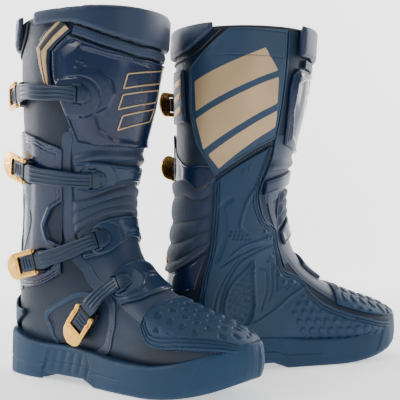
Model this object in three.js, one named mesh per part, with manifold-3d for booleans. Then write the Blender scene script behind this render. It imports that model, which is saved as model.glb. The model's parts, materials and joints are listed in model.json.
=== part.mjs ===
// A pair of motocross riding boots, standing side by side on a flat floor.
// Millimetres, +Z up, origin on the floor under the middle of the pair's bounding box.
//
// Each boot is drawn as a right boot in its own frame: x forward from the ankle line, y to the
// wearer's left (the inner side of the right foot), z up from the floor. The left boot is its mirror.
//
// The upper is one smooth skin, S(s, v). s counts along the boot from the toe tip (0), round the
// ankle, to the top of the shaft (17). v goes once round it: 0 front or top, 0.25 outer side,
// 0.5 rear or bottom, 0.75 inner side. Every shell, guard, plate and strap is a patch of that skin,
// lifted to its own layer, so they all follow when a size changes.
import * as THREE from 'three';
import { mergeVertices } from 'three/addons/utils/BufferGeometryUtils.js';
import Module from 'manifold-3d';

const wasm = await Module();
wasm.setup();

// ---- driving dimensions -------------------------------------------------------------------
const TOE_REACH = 230;          // ankle line to the toe tip of the upper
const HEEL_REACH = 82;          // ankle line to the back of the heel
const BOOT_HEIGHT = 398;        // floor to the top edge of the shaft's shell
const SHAFT_WIDTH = 138;        // across the top of the shaft
const FOREFOOT_WIDTH = 99;      // across the ball of the foot, upper only
const SOLE_RIM = 6;             // how far the cup sole stands out from the upper
const TOE_SPRING = 24;          // how far the sole curls up at the toe
const ARCH_RISE = 7;            // height of the hollow in front of the heel block
const SHELL_WALL = 4;           // leather and lining
const CLEARANCE = 1.2;          // between one layer and the next
const LINING_GAP = 2;           // between the lining and the board that lies in it
const PANEL_WALL = 2.6;         // guards and panels
const PLATE_WALL = 4;           // moulded shin plate
const COLLAR_WALL = 8;          // padded collars
const BELLOWS_WALL = 3.4;       // padded flex zone over the instep
const BOARD_WALL = 2.4;         // insole board
const FOOTBED_WALL = 5;         // removable footbed
const STRAP_WIDTH = 17;
const STRAP_WALL = 2.6;
const BOSS_LENGTH = 13;         // half-round strap anchor
const LEVER_LENGTH = 44;
const LEVER_ARM = 5.6;          // width of each arm of the fork
const LEVER_WALL = 4.6;
const LEVER_PALM = 20;          // solid part at the lever's tip
const BASE_WALL = 3.4;          // hook plate under each buckle
const RIM_CLEAR = 4.2;          // guards stop this far above the cup sole's edge
const PIVOT_SETBACK = 2;        // lever pivot from the ends of its arms
const PIVOT_CLEAR = 2.6;        // room under the arms' ends for them to turn in
const STANDS = {                // ankle positions and yaw of the two boots
  right: { x: -128, y: 25, yaw: -34, mirrored: false },
  left: { x: 45, y: 75, yaw: 26, mirrored: true },
};

// ---- the skin -------------------------------------------------------------------------------
// front x z, rear x z, half width outer and inner, squareness front and rear; for a boot of the
// nominal sizes below, which the driving dimensions stretch.
const NOMINAL = { toe: 230, heel: 82, height: 398, shaft: 138, forefoot: 99, ankle: 110 };
const TOP = 17;
const STATIONS = [
  [230, 44, 230, 40, 1, 1, 2.0, 2.0],
  [226, 54, 226, 36, 20, 19, 2.0, 2.2],
  [215, 63, 216, 33, 35, 31, 2.0, 2.6],
  [194, 72, 194, 28, 47, 41, 2.1, 3.0],
  [166, 81, 166, 24, 53, 46, 2.1, 3.2],
  [136, 93, 130, 22, 53, 44, 2.1, 3.2],
  [110, 108, 88, 23, 48, 41, 2.1, 3.0],
  [92, 124, 42, 25, 42, 39, 2.1, 3.0],
  [80, 142, 0, 26, 40, 38, 2.1, 2.8],
  [74, 160, -42, 27, 40, 39, 2.1, 2.5],
  [70, 177, -78, 40, 41, 41, 2.1, 2.3],
  [68, 194, -82, 82, 43, 43, 2.1, 2.2],
  [68, 212, -75, 132, 46, 45, 2.1, 2.1],
  [72, 236, -68, 186, 51, 48, 2.1, 2.1],
  [80, 268, -66, 242, 58, 54, 2.2, 2.1],
  [90, 308, -66, 294, 65, 61, 2.2, 2.1],
  [96, 350, -66, 346, 69, 66, 2.2, 2.1],
  [99, 398, -64, 394, 70, 68, 2.2, 2.1],
  [100, 430, -63, 428, 71, 69, 2.2, 2.1],
];

const stretchX = (x) => x * (x > 0 ? TOE_REACH / NOMINAL.toe : HEEL_REACH / NOMINAL.heel);
const stretchZ = (z) => {
  const above = Math.max(0, z - NOMINAL.ankle);
  return z + above * (BOOT_HEIGHT - NOMINAL.height) / (NOMINAL.height - NOMINAL.ankle);
};
const stretchY = (y, station) => {
  const shaft = Math.min(1, Math.max(0, (station - 5) / 7));
  return y * ((1 - shaft) * FOREFOOT_WIDTH / NOMINAL.forefoot + shaft * SHAFT_WIDTH / NOMINAL.shaft);
};
const SIZED = STATIONS.map(([fx, fz, rx, rz, outer, inner, nf, nr], i) => [
  stretchX(fx), stretchZ(fz), stretchX(rx), stretchZ(rz), stretchY(outer, i), stretchY(inner, i), nf, nr,
]);

// Cubic through the stations with slopes from their neighbours.
function stationAt(s, k) {
  const last = SIZED.length - 1;
  const x = Math.min(Math.max(s, 0), last - 1e-6);
  const i = Math.floor(x);
  const t = x - i;
  const before = SIZED[Math.max(i - 1, 0)][k];
  const a = SIZED[i][k];
  const b = SIZED[i + 1][k];
  const after = SIZED[Math.min(i + 2, last)][k];
  const slopeA = (b - before) / 2;
  const slopeB = (after - a) / 2;
  const t2 = t * t;
  const t3 = t2 * t;
  return (2 * t3 - 3 * t2 + 1) * a + (t3 - 2 * t2 + t) * slopeA
    + (3 * t2 - 2 * t3) * b + (t3 - t2) * slopeB;
}

// Each ring is a superellipse between its front and rear points.
function skin(s, v) {
  const [fx, fz, rx, rz, outer, inner, nf, nr] = SIZED[0].map((_, k) => stationAt(s, k));
  const c = Math.cos(2 * Math.PI * v);
  const d = Math.sin(2 * Math.PI * v);
  const frontness = 0.5 + 0.5 * Math.tanh(4 * c);
  const n = nf * frontness + nr * (1 - frontness);
  const along = Math.sign(c) * Math.abs(c) ** (2 / n);
  const across = Math.sign(d) * Math.abs(d) ** (2 / n);
  return new THREE.Vector3(
    (fx + rx) / 2 + along * (fx - rx) / 2,
    -across * (d > 0 ? outer : inner),
    (fz + rz) / 2 + along * (fz - rz) / 2,
  );
}

function skinNormal(s, v) {
  const ds = 0.02;
  const dv = 0.002;
  const lo = Math.max(s, ds * 2);
  const alongS = skin(lo + ds, v).sub(skin(lo - ds, v));
  const alongV = skin(lo, v + dv).sub(skin(lo, v - dv));
  const normal = alongS.cross(alongV).normalize();
  const middle = skin(lo, 0).add(skin(lo, 0.5)).multiplyScalar(0.5);
  return normal.dot(skin(lo, v).sub(middle)) < 0 ? normal.negate() : normal;
}

// A point of the skin, lifted outwards.
const lifted = (s, v, lift) => skin(s, v).addScaledVector(skinNormal(s, v), lift);

// ---- layers: how far the inside and outside of each kind of piece stand from the skin ---------
const layer = (from, wall) => [from, from + wall];
const PANEL = layer(CLEARANCE, PANEL_WALL);
const HEEL = layer(CLEARANCE * 2.3, PANEL_WALL);     // the heel's skin bends tightly
const ANKLE_PLATE = layer(CLEARANCE * 1.6, PLATE_WALL); // the ankle's skin is hollow
const PLATE = layer(CLEARANCE, PLATE_WALL);
const COLLAR = layer(CLEARANCE, COLLAR_WALL);
const BELLOWS = layer(CLEARANCE, BELLOWS_WALL);
const BOARD = layer(-SHELL_WALL - LINING_GAP - BOARD_WALL, BOARD_WALL);
const FOOTBED = layer(BOARD[0] - CLEARANCE - FOOTBED_WALL, FOOTBED_WALL);

// ---- closed meshes ----------------------------------------------------------------------------
function closedGeometry(points, triangles) {
  let volume = 0;
  for (const [a, b, c] of triangles) {
    volume += points[a].dot(points[b].clone().cross(points[c])) / 6;
  }
  const facing = volume < 0 ? triangles.map(([a, b, c]) => [a, c, b]) : triangles;
  const geometry = new THREE.BufferGeometry().setFromPoints(points);
  geometry.setIndex(facing.flat());
  return geometry;
}

// A slab on a grid of cells. at(i, j, k) places grid point i, j of the inner (0) or outer (1) face.
function slab(columns, rows, at, keep = () => true) {
  const points = [];
  const ids = new Map();
  const id = (i, j, k) => {
    const key = `${i},${j},${k}`;
    if (!ids.has(key)) {
      ids.set(key, points.length);
      points.push(at(i, j, k));
    }
    return ids.get(key);
  };
  const triangles = [];
  const quad = (a, b, c, d) => triangles.push([a, b, c], [a, c, d]);
  const kept = (i, j) => i >= 0 && j >= 0 && i < columns && j < rows && keep(i, j);
  for (let i = 0; i < columns; i += 1) {
    for (let j = 0; j < rows; j += 1) {
      if (!kept(i, j)) continue;
      quad(id(i, j, 1), id(i + 1, j, 1), id(i + 1, j + 1, 1), id(i, j + 1, 1));
      quad(id(i, j, 0), id(i, j + 1, 0), id(i + 1, j + 1, 0), id(i + 1, j, 0));
      if (!kept(i, j - 1)) quad(id(i, j, 0), id(i + 1, j, 0), id(i + 1, j, 1), id(i, j, 1));
      if (!kept(i + 1, j)) quad(id(i + 1, j, 0), id(i + 1, j + 1, 0), id(i + 1, j + 1, 1), id(i + 1, j, 1));
      if (!kept(i, j + 1)) quad(id(i + 1, j + 1, 0), id(i, j + 1, 0), id(i, j + 1, 1), id(i + 1, j + 1, 1));
      if (!kept(i - 1, j)) quad(id(i, j + 1, 0), id(i, j, 0), id(i, j, 1), id(i, j + 1, 1));
    }
  }
  return closedGeometry(points, triangles);
}

// Rings of equal length joined one to the next; a loop joins the last to the first, otherwise
// both ends are capped.
function ringLoft(rings, loop) {
  const count = rings[0].length;
  const points = rings.flat();
  const triangles = [];
  const spans = loop ? rings.length : rings.length - 1;
  for (let r = 0; r < spans; r += 1) {
    const next = (r + 1) % rings.length;
    for (let i = 0; i < count; i += 1) {
      const j = (i + 1) % count;
      const [a, b, c, d] = [r * count + i, r * count + j, next * count + j, next * count + i];
      triangles.push([a, b, c], [a, c, d]);
    }
  }
  if (!loop) {
    for (const [ring, flip] of [[0, true], [rings.length - 1, false]]) {
      const middle = points.length;
      points.push(rings[ring].reduce((sum, p) => sum.add(p), new THREE.Vector3()).divideScalar(count));
      for (let i = 0; i < count; i += 1) {
        const j = (i + 1) % count;
        const [a, b] = [ring * count + i, ring * count + j];
        triangles.push(flip ? [middle, b, a] : [middle, a, b]);
      }
    }
  }
  return closedGeometry(points, triangles);
}

function toManifold(geometry) {
  const bare = geometry.clone();
  bare.deleteAttribute('normal');
  bare.deleteAttribute('uv');
  const merged = mergeVertices(bare, 1e-4);
  const vertProperties = new Float32Array(merged.attributes.position.array);
  const triVerts = new Uint32Array(merged.index.array);
  return new wasm.Manifold(new wasm.Mesh({ numProp: 3, vertProperties, triVerts }));
}

function fromManifold(solid) {
  const mesh = solid.getMesh();
  const geometry = new THREE.BufferGeometry();
  geometry.setAttribute('position', new THREE.BufferAttribute(new Float32Array(mesh.vertProperties), 3));
  geometry.setIndex(Array.from(mesh.triVerts));
  return geometry;
}

const cut = (body, tool) => fromManifold(toManifold(body).subtract(toManifold(tool)));
const join = (body, other) => fromManifold(toManifold(body).add(toManifold(other)));

// ---- shells ------------------------------------------------------------------------------------
const RING_SIDES = 22;
const ring = (s, lift) => Array.from({ length: RING_SIDES }, (_, i) => lifted(s, i / RING_SIDES, lift));
const steps = (from, to, count) => (
  Array.from({ length: count + 1 }, (_, i) => from + (to - from) * i / count)
);

const SHELL_SPLIT = 10.6;       // the foot's shell ends and the shaft's begins
const SPLIT_GAP = 0.06;
const FOOT_RINGS = [0.05, 0.5, 1.1, 2, 3.2, 4.6, 5.6, 6.5, 7.4, 8.3, 9, 9.6, 10.1];

// The foot's shell: closed at the toe, open where the leg goes in.
function vampShell() {
  const outside = [...FOOT_RINGS, SHELL_SPLIT - SPLIT_GAP];
  const inside = outside.slice(2).reverse();
  return ringLoft([...outside.map((s) => ring(s, 0)), ...inside.map((s) => ring(s, -SHELL_WALL))], false);
}

function shaftShell() {
  const outside = [SHELL_SPLIT + SPLIT_GAP, 11.3, 12, 12.6, 13.2, 13.8, 14.5, 15.3, 16.1, TOP];
  const inside = [...outside].reverse();
  return ringLoft([...outside.map((s) => ring(s, 0)), ...inside.map((s) => ring(s, -SHELL_WALL))], true);
}

// ---- cup sole ------------------------------------------------------------------------------------
// x, half width outer, half width inner, height of the cup's edge above its own tread line
const SOLE_PLAN = [
  [-91, 10, 10, 50], [-88, 21, 21, 52], [-80, 30, 30, 51], [-66, 36, 36, 47], [-46, 40, 39, 41],
  [-26, 41, 39, 38], [-18, 41, 38, 37], [14, 42, 37, 36], [40, 45, 38, 34], [58, 48, 40, 31],
  [84, 53, 43, 28], [112, 57, 47, 27], [140, 59, 49, 27], [166, 58, 49, 29], [186, 54, 46, 31],
  [204, 46, 40, 33], [219, 35, 31, 34], [230, 22, 20, 33], [236, 9, 9, 30],
].map(([x, outer, inner, edge]) => {
  const spare = SOLE_RIM - 6;
  return [
    stretchX(x) + Math.sign(x) * spare, stretchY(outer, 0) + spare, stretchY(inner, 0) + spare, edge,
  ];
});
const HEEL_FRONT = stretchX(-26);
const ARCH_START = stretchX(-18);
const ARCH_END = stretchX(40);
const BALL_START = stretchX(58);
const SPRING_START = stretchX(125);
const SOLE_TIP = SOLE_PLAN[SOLE_PLAN.length - 1][0];

// Height of the tread: flat under the heel and ball, hollow at the arch, curled up at the toe.
function treadHeight(x) {
  if (x > SPRING_START) return TOE_SPRING * ((x - SPRING_START) / (SOLE_TIP - SPRING_START)) ** 2;
  if (x <= HEEL_FRONT || x >= BALL_START) return 0;
  const rise = Math.min(1, (x - HEEL_FRONT) / (ARCH_START - HEEL_FRONT));
  const fall = Math.min(1, (BALL_START - x) / (BALL_START - ARCH_END));
  return ARCH_RISE * Math.min(rise, fall);
}

// Height of the cup's top edge at x.
function cupHeight(x) {
  const last = SOLE_PLAN.length - 1;
  if (x <= SOLE_PLAN[0][0]) return SOLE_PLAN[0][3];
  if (x >= SOLE_PLAN[last][0]) return SOLE_PLAN[last][3] + TOE_SPRING;
  const i = SOLE_PLAN.findIndex(([px]) => px > x) - 1;
  const t = (x - SOLE_PLAN[i][0]) / (SOLE_PLAN[i + 1][0] - SOLE_PLAN[i][0]);
  const spring = x > SPRING_START ? treadHeight(x) : 0;
  return SOLE_PLAN[i][3] * (1 - t) + SOLE_PLAN[i + 1][3] * t + spring;
}

function outsole() {
  const TREAD_INSET = 0.9;      // share of the half width that touches the floor
  const SIDE_ROUND = 6;
  const EDGE_ROUND = 2;
  const sections = SOLE_PLAN.map(([x, outer, inner]) => {
    const low = treadHeight(x);
    const high = cupHeight(x);
    return [
      [-outer * TREAD_INSET, low], [-outer, low + SIDE_ROUND], [-outer, high - EDGE_ROUND],
      [-outer + EDGE_ROUND, high], [inner - EDGE_ROUND, high], [inner, high - EDGE_ROUND],
      [inner, low + SIDE_ROUND], [inner * TREAD_INSET, low],
    ].map(([y, z]) => new THREE.Vector3(x, y, z));
  });
  const foot = [...FOOT_RINGS, SHELL_SPLIT, 11.3, 12.2];
  const hollow = ringLoft(foot.map((s) => ring(s, CLEARANCE / 2)), false);
  return cut(ringLoft(sections, false), hollow);
}

// ---- patches of the skin ---------------------------------------------------------------------------
// A net is rows of [s, v] points, from the boot's toe or foot end upwards, each row running from
// the outer side round to the inner side. v below zero is past the front, on the inner side.
function netPoint(net, a, b) {
  const rows = net.length - 1;
  const columns = net[0].length - 1;
  const i = Math.min(Math.floor(b * rows), rows - 1);
  const j = Math.min(Math.floor(a * columns), columns - 1);
  const p = b * rows - i;
  const q = a * columns - j;
  const mix = (k) => (net[i][j][k] * (1 - q) + net[i][j + 1][k] * q) * (1 - p)
    + (net[i + 1][j][k] * (1 - q) + net[i + 1][j + 1][k] * q) * p;
  return [mix(0), mix(1)];
}

function patch(net, [low, high], columns, rows, keep) {
  const at = (i, j, k) => {
    const [s, v] = netPoint(net, i / columns, j / rows);
    return lifted(s, v, k ? high : low);
  };
  return slab(columns, rows, at, keep);
}

// Where a panel on the skin meets the cup's edge: v on station s, outer (1) or inner (-1) side.
function soleLine(s, side) {
  let high = 0.25;
  let low = 0.5;
  for (let step = 0; step < 30; step += 1) {
    const middle = (high + low) / 2;
    const p = lifted(s, side > 0 ? middle : 1 - middle, PANEL[1]);
    if (p.z > cupHeight(p.x) + RIM_CLEAR) high = middle;
    else low = middle;
  }
  return side > 0 ? high : 1 - high;
}

// The same round the heel: s on line v.
function heelLine(v) {
  let low = 9;
  let high = 12;
  for (let step = 0; step < 30; step += 1) {
    const middle = (high + low) / 2;
    const p = lifted(middle, v, HEEL[1]);
    if (p.z > cupHeight(p.x) + RIM_CLEAR) high = middle;
    else low = middle;
  }
  return high;
}

const SHIN_NET = [
  [[14.05, 0.175], [13.75, 0.105], [13.65, 0], [13.8, -0.09], [14.1, -0.175]],
  [[15.0, 0.217], [14.9, 0.11], [14.85, 0], [14.85, -0.09], [15.0, -0.19]],
  [[15.66, 0.234], [15.5, 0.12], [15.4, 0], [15.4, -0.09], [15.6, -0.195]],
  [[16.2, 0.236], [15.9, 0.125], [15.75, 0.02], [15.75, -0.08], [15.9, -0.19]],
  [[16.5, 0.2], [16.22, 0.125], [16.02, 0.04], [16.02, -0.08], [16.1, -0.17]],
];
const FRONT_COLLAR_NET = [
  [[16.72, 0.285], [16.68, 0.2], [16.38, 0.12], [16.18, 0.04], [16.18, -0.08], [16.25, -0.19]],
  [[17.2, 0.285], [17.2, 0.2], [17.2, 0.12], [17.2, 0.04], [17.2, -0.08], [17.2, -0.19]],
];
const REAR_COLLAR_NET = [
  [[16.95, 0.325], [16.55, 0.345], [16.3, 0.4], [16.35, 0.5], [16.5, 0.56], [16.9, 0.62]],
  [[17.2, 0.325], [17.2, 0.36], [17.2, 0.42], [17.2, 0.5], [17.2, 0.56], [17.2, 0.62]],
];
const MEDIAL_TOP_NET = [
  [[13.62, 0.64], [13.85, 0.69], [14.08, 0.735], [14.3, 0.78]],
  [[14.4, 0.575], [14.5, 0.645], [14.6, 0.715], [14.65, 0.783]],
  [[15.2, 0.545], [15.25, 0.62], [15.35, 0.7], [15.4, 0.768]],
  [[16.1, 0.545], [16.1, 0.62], [16.05, 0.7], [16.0, 0.782]],
  [[16.52, 0.602], [16.5, 0.66], [16.5, 0.72], [16.47, 0.782]],
  [[16.95, 0.655], [16.95, 0.7], [16.95, 0.74], [16.95, 0.782]],
];
const MEDIAL_GUARD_NET = [
  ...[[2.6, 0.735], [3.5, 0.745], [4.6, 0.76], [5.8, 0.77], [6.3, 0.785], [7.4, 0.84], [8.6, 0.82]]
    .map(([s, top]) => [[s, soleLine(s, -1)], [s, (soleLine(s, -1) + top) / 2], [s, top]]),
  [[9.45, 0.632], [9.45, 0.73], [9.45, 0.83]],
  [[10.5, 0.636], [10.5, 0.74], [10.5, 0.85]],
  [[11.25, 0.645], [11.25, 0.735], [11.25, 0.82]],
  [[11.85, 0.652], [11.85, 0.725], [11.85, 0.79]],
  [[12.7, 0.646], [12.8, 0.702], [12.9, 0.757]],
  [[13.45, 0.64], [13.75, 0.706], [14.1, 0.775]],
];
const HEEL_TOP = [[0.345, 10.3], [0.385, 10.6], [0.42, 10.9], [0.46, 11.1], [0.5, 11.2], [0.54, 11.15],
  [0.58, 10.95], [0.605, 10.8]];
const HEEL_NET = [HEEL_TOP.map(([v]) => [heelLine(v), v]), HEEL_TOP.map(([v, s]) => [s, v])];
const CALF_NET = [
  [[10.0, 0.225], [10.5, 0.29], [11.05, 0.36], [11.5, 0.41]],
  [[11.1, 0.214], [11.3, 0.27], [11.6, 0.34], [12.0, 0.42]],
  [[12.4, 0.212], [12.5, 0.28], [12.6, 0.35], [12.7, 0.425]],
  [[13.5, 0.216], [13.6, 0.28], [13.75, 0.35], [13.8, 0.425]],
  [[13.9, 0.214], [14.35, 0.29], [14.6, 0.36], [14.65, 0.43]],
];
const BELLOWS_NET = [
  [[10.95, 0.16], [10.95, 0.08], [10.62, 0.03], [10.55, -0.05], [10.55, -0.13]],
  [[12.35, 0.165], [12.08, 0.11], [12.15, 0.02], [12.3, -0.08], [12.4, -0.13]],
];
const PLATE_2_NET = [
  [[12.62, 0.17], [12.28, 0.115], [12.35, 0.02], [12.5, -0.09], [12.7, -0.215]],
  [[13.5, 0.18], [13.4, 0.125], [13.1, 0.04], [13.1, -0.08], [13.15, -0.215]],
];
const PLATE_3_NET = [
  [[9.5, 0.165], [8.75, 0.1], [8.9, 0.02], [9.0, -0.06], [9.3, -0.125]],
  [[10.75, 0.165], [10.75, 0.105], [10.42, 0.03], [10.32, -0.05], [10.3, -0.125]],
];
const PLATE_4_NET = [
  [[6.4, 0.175], [5.8, 0.11], [5.6, 0.03], [5.65, -0.03], [5.9, -0.08]],
  [[7.65, 0.17], [7.72, 0.1], [7.6, 0.03], [7.45, -0.02], [7.2, -0.09]],
];
const TOE_GUARD_NET = [
  [[1.9, 0.2], [1.6, 0.12], [1.5, 0], [1.6, -0.1], [1.9, -0.17]],
  [[2.6, 0.225], [2.6, 0.12], [2.6, 0], [2.6, -0.1], [2.6, -0.215]],
  [[3.7, 0.245], [3.7, 0.12], [3.7, 0], [3.7, -0.1], [3.7, -0.215]],
  [[4.85, 0.25], [4.8, 0.13], [4.75, 0], [4.8, -0.1], [4.8, -0.205]],
  [[5.2, 0.215], [5.3, 0.13], [5.2, 0], [5.3, -0.09], [5.3, -0.2]],
];
const PULL_TAB_NET = [[[14.9, 0.462], [14.9, 0.535]], [[16.1, 0.462], [16.1, 0.52]]];
const INSOLE_NET = [1.6, 3, 4.6, 6.4, 8.6].map((s) => [[s, 0.4], [s, 0.5], [s, 0.6]]);

// ---- straps and buckles ------------------------------------------------------------------------------
// Each route starts at the front of the strap's anchor and ends at the lever's tip; seat is the
// top of what the hook plate sits on.
const CALF_SEAT = PANEL[1];
const STRAPS = [
  {
    route: [[15.1, 0.145], [15.2, 0.2], [15.4, 0.3], [15.42, 0.4], [15.42, 0.449]],
    seat: 0,
    front: PLATE[1],
  },
  {
    route: [[12.68, 0.09], [12.85, 0.14], [13.5, 0.28], [13.75, 0.34], [13.85, 0.425]],
    seat: CALF_SEAT,
    front: ANKLE_PLATE[1],
  },
  {
    route: [[9.5, 0.085], [9.9, 0.125], [11.0, 0.257], [11.55, 0.33], [11.9, 0.385]],
    seat: CALF_SEAT,
    front: ANKLE_PLATE[1],
  },
  {
    route: [[6.8, 0.085], [7.05, 0.13], [7.4, 0.195], [7.6, 0.25], [7.72, 0.335]],
    seat: 0,
    front: ANKLE_PLATE[1],
  },
];

// Points and frames at even spacing along a route laid on the skin.
function walk(route) {
  const FINE = 160;
  const EACH = 16;
  const marks = steps(0, 1, FINE).map((t) => {
    const x = t * (route.length - 1);
    const i = Math.min(Math.floor(x), route.length - 2);
    const f = x - i;
    return [route[i][0] * (1 - f) + route[i + 1][0] * f, route[i][1] * (1 - f) + route[i + 1][1] * f];
  });
  const spots = marks.map(([s, v]) => skin(s, v));
  const curve = new THREE.CatmullRomCurve3(spots.filter((_, i) => i % EACH === 0));
  const length = curve.getLength();
  const normals = marks.map(([s, v]) => skinNormal(s, v));
  const frame = (x) => {
    const t = Math.min(Math.max(x / length, 0), 1);
    const point = curve.getPointAt(t);
    const along = curve.getTangentAt(t);
    let nearest = 0;
    for (let i = 1; i < spots.length; i += 1) {
      if (spots[i].distanceToSquared(point) < spots[nearest].distanceToSquared(point)) nearest = i;
    }
    const normal = normals[nearest].clone();
    normal.addScaledVector(along, -normal.dot(along)).normalize();
    const across = normal.clone().cross(along);
    return { point, along, normal, across };
  };
  return { length, frame };
}

// How high the strap's underside runs: over the plate at the front, over the hook plate behind.
function strapLift(strap, path, x) {
  const front = strap.front + CLEARANCE;
  const back = strap.seat + CLEARANCE + BASE_WALL + PIVOT_CLEAR;
  const t = Math.min(Math.max(x / path.length, 0), 1);
  return front * (1 - t) + back * t;
}

// A flat outline bent along a route: xs along it, ys(x, j) across it, wall from low to high.
function bent(path, xs, ys, low, high, keep) {
  const at = (i, j, k) => {
    const x = xs[i];
    const { point, normal, across } = path.frame(x);
    return point.addScaledVector(across, ys(x, j)).addScaledVector(normal, k ? high(x) : low(x));
  };
  return (rows) => slab(xs.length - 1, rows, at, keep);
}

// The same path, but straight on beyond x = from.
function straightFrom(path, from) {
  const frame = (x) => {
    const { point, along, normal, across } = path.frame(Math.min(x, from));
    point.addScaledVector(along, Math.max(0, x - from));
    return { point, along, normal, across };
  };
  return { length: path.length, frame };
}

// A lever is stiff, so it and the strap's end stand off along a tangent of the boot; the hook
// plate under them is bent to the boot.
function buckle(strap) {
  const path = walk(strap.route);
  const lift = (x) => strapLift(strap, path, x);
  const leverStart = path.length - LEVER_LENGTH;
  const stiff = straightFrom(path, leverStart);
  const palmStart = path.length - LEVER_PALM;
  const strapStart = BOSS_LENGTH + CLEARANCE * 1.5;
  const strapEnd = palmStart - CLEARANCE * 2;
  const fork = STRAP_WIDTH / 2 + CLEARANCE * 0.6;
  const full = fork + LEVER_ARM;

  const strapAcross = (x, j) => (j - 0.5) * STRAP_WIDTH;
  const strapBody = bent(stiff, steps(strapStart, strapEnd, 12), strapAcross, lift,
    (x) => lift(x) + STRAP_WALL)(1);

  const ROUND = 12;
  const leverAcross = (x, j) => {
    const left = path.length - x;
    const narrow = left < ROUND ? Math.sqrt(Math.max(0.12, 1 - (1 - left / ROUND) ** 2)) : 1;
    return [-full, -fork, fork, full][j] * narrow;
  };
  const leverXs = [...steps(leverStart, palmStart, 4), palmStart + 5, palmStart + 9, palmStart + 13,
    palmStart + 17, path.length];
  const lever = bent(stiff, leverXs, leverAcross, lift, (x) => lift(x) + LEVER_WALL,
    (i, j) => j !== 1 || i >= 4)(3);

  const baseAcross = (x, j) => (j - 0.5) * 2 * (full - 1);
  const baseLow = () => strap.seat + CLEARANCE;
  const base = bent(path, steps(leverStart - 2, path.length - 6, 5), baseAcross, baseLow,
    () => baseLow() + BASE_WALL)(1);

  const bossAcross = (x, j) => (j - 0.5) * STRAP_WIDTH * 1.25
    * Math.sqrt(Math.max(0.1, 1 - (1 - Math.min(1, x / BOSS_LENGTH)) ** 2));
  const boss = bent(path, [0, 2, 5, 9, BOSS_LENGTH], bossAcross, () => strap.front - 1.5,
    (x) => lift(x) + STRAP_WALL)(1);

  const hinge = (x, wall) => {
    const { point, normal, across } = stiff.frame(x);
    // turning by the right-hand rule about this axis swings the free end outwards
    return { point: point.addScaledVector(normal, lift(x) + wall / 2), axis: across.negate() };
  };
  return {
    strapBody,
    lever,
    base,
    boss,
    strapHinge: hinge(strapStart, STRAP_WALL),
    leverHinge: hinge(leverStart + PIVOT_SETBACK, LEVER_WALL),
  };
}

// ---- materials -----------------------------------------------------------------------------------------
const finish = (color, roughness, metalness = 0) => (
  new THREE.MeshStandardMaterial({ color, roughness, metalness })
);
const RUBBER = finish(0x2f4463, 0.75);
const LEATHER = finish(0x343d4b, 0.55);
const PADDING = finish(0x33425a, 0.7);
const MATTE_TPU = finish(0x33496b, 0.6);
const GLOSS_TPU = finish(0x0d234b, 0.25);
const STRAP_TPU = finish(0x26384f, 0.45);
const GOLD = finish(0xe8b85f, 0.35, 0.8);
const BLACK = finish(0x15181d, 0.5);
const BOARD_GREY = finish(0x6b6456, 0.8);
const FOAM = finish(0x23262b, 0.9);

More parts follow.
